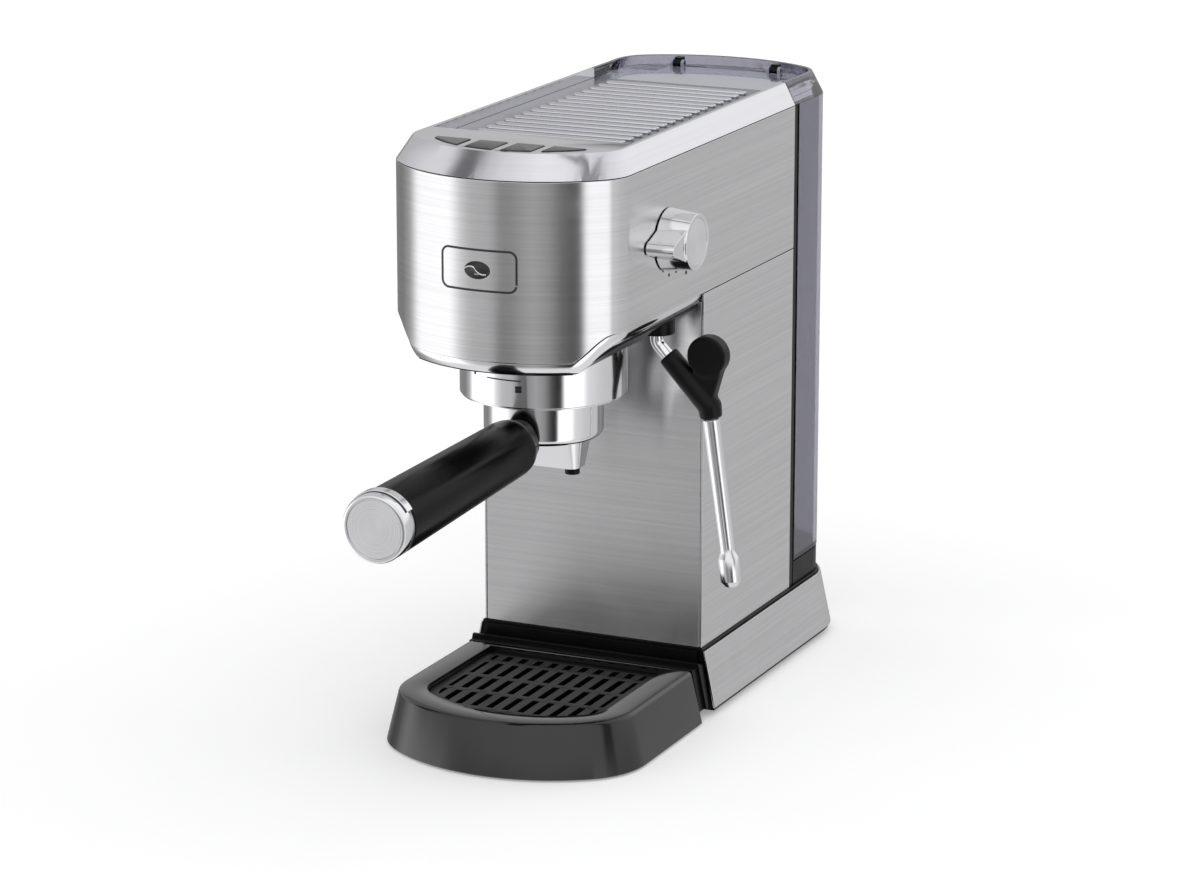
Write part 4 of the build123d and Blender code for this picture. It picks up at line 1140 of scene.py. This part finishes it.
@dataclass
class Portafilter:
    """The cup with its lugs, the basket, the spouts and the handle."""

    cup_r: float = 31.6
    foot: float = 164.6
    top: float = 199.5
    wall: float = 4.3
    floor: float = 6.4           # thickness of the cup's floor
    round: float = 4.2           # radius of its lower edge
    lug: float = 4.7             # how far a bayonet lug stands out
    lug_z: float = 191.2
    lug_t: float = 5.0
    lug_half: float = 18.0       # half its angle
    handle_r: float = 17.6
    handle_root_r: float = 15.6
    neck_r: float = 12.4
    root_y: float = -36.0
    axis_z: float = 166.3
    droop: float = 1.75
    end_y: float = -192.1
    cap: float = 11.0

    @property
    def length(self) -> float:
        """Length of the handle along its own axis."""
        return (self.root_y - self.end_y) / math.cos(math.radians(self.droop))

    def on_handle(self, shape: Shape) -> Shape:
        """Lay a shape made along +Z at the origin onto the handle's axis."""
        lay = Matrix.Rotation(math.radians(90 + self.droop), 4, "X")
        return shape.move(Matrix.Translation((0, self.root_y, self.axis_z)) @ lay)

    def turned(self, profile: Sequence[tuple[float, float]]) -> Shape:
        """A piece turned about the handle's axis."""
        return self.on_handle(Shape().turned(profile, 80))

    def cup(self) -> None:
        """The chrome cup with two bayonet lugs."""
        shape = Shape()
        bore, floor = self.cup_r - self.wall, self.foot + self.floor
        pen = shape.pen(0.01, 0, self.foot)
        pen.line(self.cup_r - self.round, 0, self.foot)
        pen.arc((self.cup_r - self.round, 0, self.foot + self.round), (0, -1, 0), 90, 10)
        pen.line(self.cup_r, 0, self.top)
        pen.line(bore, 0, self.top)
        pen.line(bore, 0, floor)
        pen.line(0.01, 0, floor)
        shape.spin(pen.edges, 112)
        bmesh.ops.remove_doubles(shape.bm, verts=shape.bm.verts, dist=0.05)
        for turn in (0, 180):
            near, far = self.cup_r - 0.5, self.cup_r + self.lug
            low, high = self.lug_z, self.lug_z + self.lug_t
            lug = Shape().wedge([(near, low), (far, low), (far, high), (near, high)], turn - self.lug_half,
                                2 * self.lug_half, 14)
            lug.piece(f"bayonet_lug_{turn}", CHROME, "portafilter", ["portafilter_cup"], bevel=0.3)
        shape.piece("cup_shell", CHROME, "portafilter", ["portafilter_cup"], bevel=0.5)

    def handle(self) -> None:
        """Neck, black grip, chrome tab and the end cap with its turned face."""
        radius, end = self.handle_r, self.length - self.cap
        root, neck_r = self.handle_root_r, self.neck_r
        neck = self.turned([(0.0, -8.0), (neck_r - 1.4, -8.0), (neck_r - 0.6, -2.0), (neck_r, 2.0),
                            (neck_r, 4.0), (0.0, 4.0)])
        neck.piece("handle_collar", GRIP, "portafilter", ["handle_neck"], bevel=0.3)
        shoulder = [(neck_r + 0.2, 0.4), (root - 2.2, 0.8), (root - 1.2, 2.0), (root - 0.5, 4.0),
                    (root - 0.1, 6.6), (root, 9.0)]
        grip = self.turned([(4.0, 0.4), *shoulder, (radius - 0.05, end), (4.0, end)])
        grip.piece("handle_sleeve", GRIP, "portafilter", ["handle_grip"], bevel=0.35)
        rim = radius - 2.4
        cap = self.turned([(0.0, end + 0.6), (radius - 0.3, end + 0.6), (radius, end + 1.2),
                           (radius, self.length - 1.6), (radius - 0.6, self.length - 0.3),
                           (radius - 1.3, self.length), (rim, self.length), (rim - 0.2, self.length - 0.9),
                           (0.0, self.length - 0.9)])
        cap.piece("handle_cap_ring", CHROME, "portafilter", ["handle_cap"], bevel=0.25)
        disc = self.turned([(0.0, self.length - 0.88), (rim - 0.5, self.length - 0.88),
                            (rim - 0.5, self.length - 0.5), (0.0, self.length - 0.5)])
        disc.piece("handle_cap_disc", TURNED_CAP, "portafilter", ["handle_cap"], bevel=0.12)
        out, low, high = radius + 0.9, end - 0.2, end + 5.2
        tab = Shape().wedge([(radius - 1.0, low), (out, low), (out, high), (radius - 1.0, high)], 30, 120, 32)
        self.on_handle(tab).piece("handle_tab", CHROME, "portafilter", bevel=0.35)
        slot = Shape().wedge([(radius - 1.0, high), (radius + 0.12, high), (radius + 0.12, high + 0.9),
                              (radius - 1.0, high + 0.9)], 30, 120, 32)
        self.on_handle(slot).piece("handle_tab_slot", INK, "portafilter", bevel=0.0)

    def spout(self) -> None:
        """The block with two outlets under the cup, and their dark tips."""
        refined("spout_block", CHROME, "portafilter", bevel=0.6, segments=3)
        refined("spout_tips", BLACK, "portafilter", bevel=0.3)

    def build(self) -> None:
        """Build and dress the portafilter."""
        self.cup()
        self.handle()
        self.spout()
        dress_nodes(STEEL, "filter_basket")


@dataclass
class DripTray:
    """The glossy tray with its wide rim, and the slotted grid."""

    plan: Dee = Dee(66.5, -76.5, 88.0, 34.0, 42.5)
    top: float = 29.5
    foot: float = 1.2
    flare: float = 7.0
    rim: float = 15.0

    def tray(self) -> None:
        """One body from its flared foot over its rim down into the basin."""
        shape = Shape()
        plan = self.plan

        def outer(z: float, inset: float = 0.0) -> Dee:
            """The outer wall's plan at a height."""
            share = (self.top - z) / (self.top - self.foot)
            return plan.grown(self.flare * share - inset)

        def inner(inset: float, wall: float = 2.5) -> Dee:
            """A plan of the basin, whose rear wall stays."""
            return plan.grown(-self.rim - inset, -wall)

        top = self.top
        plans = [(outer(self.foot, 3.0), self.foot + 5.6), (outer(self.foot, 3.0), self.foot),
                 (outer(self.foot, 0.4), self.foot), (outer(self.foot + 0.5), self.foot + 0.5),
                 (outer(top - 2.0), top - 2.0), (outer(top - 1.1, 0.15), top - 1.1),
                 (outer(top - 0.4, 0.7), top - 0.4), (outer(top, 1.8), top), (inner(-0.9), top),
                 (inner(-0.3), top - 0.3), (inner(0), top - 1.0), (inner(0), top - 5.6),
                 (inner(3.0, 5.5), top - 5.6), (inner(3.0, 5.5), 9.5)]
        shape.drum(plans)
        shape.piece("tray_body", TRAY, "tray", ["drip_tray"], bevel=0.0)

    def build(self) -> None:
        """Build and dress the tray."""
        self.tray()
        refined("drip_grid", GRID, "grid", bevel=0.3, holed=True)


@dataclass
class SteamKnob:
    """The knob with its pointer wing, and the marks on the panel round it."""

    reach: float = 65.04         # how far from the middle the marks lie
    marks: tuple[Point, ...] = ((6.9, 256.3, 1.6), (14.5, 252.6, 1.9), (23.5, 252.9, 2.1),
                                (36.5, 249.7, 2.4))     # place and size of each

    def build(self) -> None:
        """Build and dress the knob."""
        refined("steam_knob", CHROME, "knob", bevel=0.5, segments=3)
        refined("knob_disc", TURNED_KNOB, "knob", bevel=0.1)
        dress_nodes(STEEL, "steam_spindle")
        dress_nodes(CAST, "steam_valve")
        shape = Shape()
        for y, z, size in self.marks:
            shape.disc((self.reach, y, z), (1, 0, 0), size / 2, 0.12, 24)
        shape.piece("steam_marks", INK, "machine", bevel=0.0)


@dataclass
class SteamWand:
    """The bent tube in its socket, the rubber grip and the frothing sleeve."""

    voxel: float = 0.55
    melt: int = 26

    def grip(self) -> None:
        """The rubber grip, whose thumb rest runs into its sleeve without an edge."""
        made = copied("wand_grip", True).thing("wand_grip_cover")
        skin = made.modifiers.new("Skin", "REMESH")
        skin.mode = "VOXEL"
        skin.voxel_size = self.voxel * MM
        soft = made.modifiers.new("Soft", "SMOOTH")
        soft.factor = 0.5
        soft.iterations = self.melt
        settle(made)
        complete(made, THUMB, "wand", ["wand_grip"], bevel=0.0, angle=60.0)

    def build(self) -> None:
        """Build and dress the wand."""
        refined("wand_tube", CHROME, "wand", bevel=0.0)
        refined("wand_socket", BLACK, "machine", bevel=0.3)
        self.grip()
        refined("frother_sleeve", SATIN, "frother", bevel=0.4)


@dataclass
class Inside:
    """What shows only through an opening: pump, heater, hoses and board."""

    def build(self) -> None:
        """Dress the inner pieces."""
        dress_nodes(PUMP, "pump", "brew_valve")
        dress_nodes(SEAL, "pump_mounts")
        dress_nodes(CAST, "thermoblock")
        dress_nodes(STEEL, "thermostats")
        dress_nodes(HOSE, "water_hoses")
        dress_nodes(BOARD, "power_board")


# ---- studio -----------------------------------------------------------------------------------------------
@dataclass
class Studio:
    """Camera, pale floor and soft light."""

    place: Point = (911.84, -1910.50, 717.14)
    yaw: float = 24.844
    pitch: float = 14.781
    lens: float = 126.896

    def camera(self) -> None:
        """Put the camera up."""
        data = bpy.data.cameras.new("camera")
        data.lens = self.lens
        data.sensor_width = 36.0
        data.clip_end = 100.0
        camera = bpy.data.objects.new("camera", data)
        camera.location = Vector(self.place) * MM
        camera.rotation_euler = (math.radians(90 - self.pitch), 0.0, math.radians(self.yaw))
        bpy.context.scene.collection.objects.link(camera)
        bpy.context.scene.camera = camera

    def floor(self) -> None:
        """Lay the pale floor down."""
        shape = Shape()
        bmesh.ops.create_grid(shape.bm, x_segments=8, y_segments=8, size=12000.0)
        floor = shape.thing("floor")
        floor.visible_glossy = False
        material = bpy.data.materials.new("floor_paper")
        material.use_nodes = True
        shader = material.node_tree.nodes["Principled BSDF"]
        shader.inputs["Base Color"].default_value = (0.92, 0.92, 0.92, 1.0)
        shader.inputs["Emission Color"].default_value = (1.0, 1.0, 1.0, 1.0)
        shader.inputs["Emission Strength"].default_value = 0.26
        shader.inputs["Roughness"].default_value = 0.9
        floor.data.materials.append(material)

    @staticmethod
    def ramp(tree: Tree, factor: Socket, stops: Sequence[tuple[float, float]]) -> Socket:
        """Brightness round the horizon.

        Args:
            tree: the world's tree.
            factor: socket of the azimuth, from 0 to 1.
            stops: azimuth in degrees and brightness of each stop.

        Returns:
            The colour socket.
        """
        node = add(tree, "ValToRGB", {"Fac": factor})
        elements = node.color_ramp.elements
        while len(elements) > 1:
            elements.remove(elements[-1])
        for i, (angle, level) in enumerate(stops):
            place = (angle + 180) / 360
            stop = elements[0] if i == 0 else elements.new(place)
            stop.position = place
            stop.color = (level, level, level * 1.01, 1.0)
        return node.outputs["Color"]

    def sky(self) -> None:
        """A studio of soft panels: bright overhead, bands of light and shade round the horizon."""
        world = bpy.data.worlds.new("studio")
        bpy.context.scene.world = world
        world.use_nodes = True
        tree = world.node_tree
        tree.nodes.clear()
        way = add(tree, "TexCoord", {}).outputs["Generated"]
        split = add(tree, "SeparateXYZ", {0: way})
        behind = calculate(tree, "MULTIPLY", split.outputs["Y"], -1.0)
        azimuth = calculate(tree, "ARCTAN2", split.outputs["X"], behind)
        share = calculate(tree, "MULTIPLY_ADD", azimuth, 0.5 / math.pi, 0.5)
        level = self.ramp(tree, share, [
            (-180, 0.50), (-155, 0.30), (-110, 0.25), (-97, 0.5), (-86, 1.55), (-52, 1.6), (-42, 0.85),
            (-34, 0.60), (-18, 0.52), (-9, 0.24), (0, 0.28), (15, 0.42), (27, 0.30), (36, 0.1), (44, 0.03),
            (50, 0.05), (55, 1.5), (78, 1.5), (88, 0.85), (112, 0.68), (140, 0.62), (180, 0.55)])
        above = self.ramp(tree, share, [
            (-180, 0.8), (-165, 0.62), (-120, 0.6), (-100, 0.9), (-88, 0.95), (-82, 0.16), (-73, 0.16),
            (-66, 0.7), (-50, 0.9), (0, 1.1), (50, 1.1), (70, 1.0), (77, 0.25), (87, 0.25), (93, 0.9),
            (130, 1.05), (165, 1.1), (180, 0.8)])
        high = spread(tree, split.outputs["Z"], 0.0, 1.0, -0.02, 0.22, "SMOOTHSTEP")
        low = spread(tree, split.outputs["Z"], 0.0, 1.0, -0.5, -0.8, "SMOOTHSTEP")
        glow = mix(tree, low, mix(tree, high, level, above), (0.85, 0.85, 0.86))
        light = add(tree, "Background", {"Color": glow}).outputs[0]
        add(tree, "OutputWorld", {"Surface": light})

    def build(self) -> None:
        """Set the studio up."""
        self.camera()
        self.floor()
        self.sky()
        view = bpy.context.scene.view_settings
        view.view_transform = "Standard"
        view.look = "None"


def main() -> None:
    """Build the machine, piece by piece, and the studio round it."""
    logging.basicConfig(level=logging.INFO, format="%(name)s: %(message)s")
    for part in (Studio(), Base(), Column(), Head(), Top(), Tank(), Group(), Portafilter(), DripTray(),
                 SteamKnob(), SteamWand(), Inside()):
        known = len(bpy.data.objects)
        part.build()
        LOG.info("%s: %d objects", type(part).__name__, len(bpy.data.objects) - known)


if __name__ == "__main__":
    main()
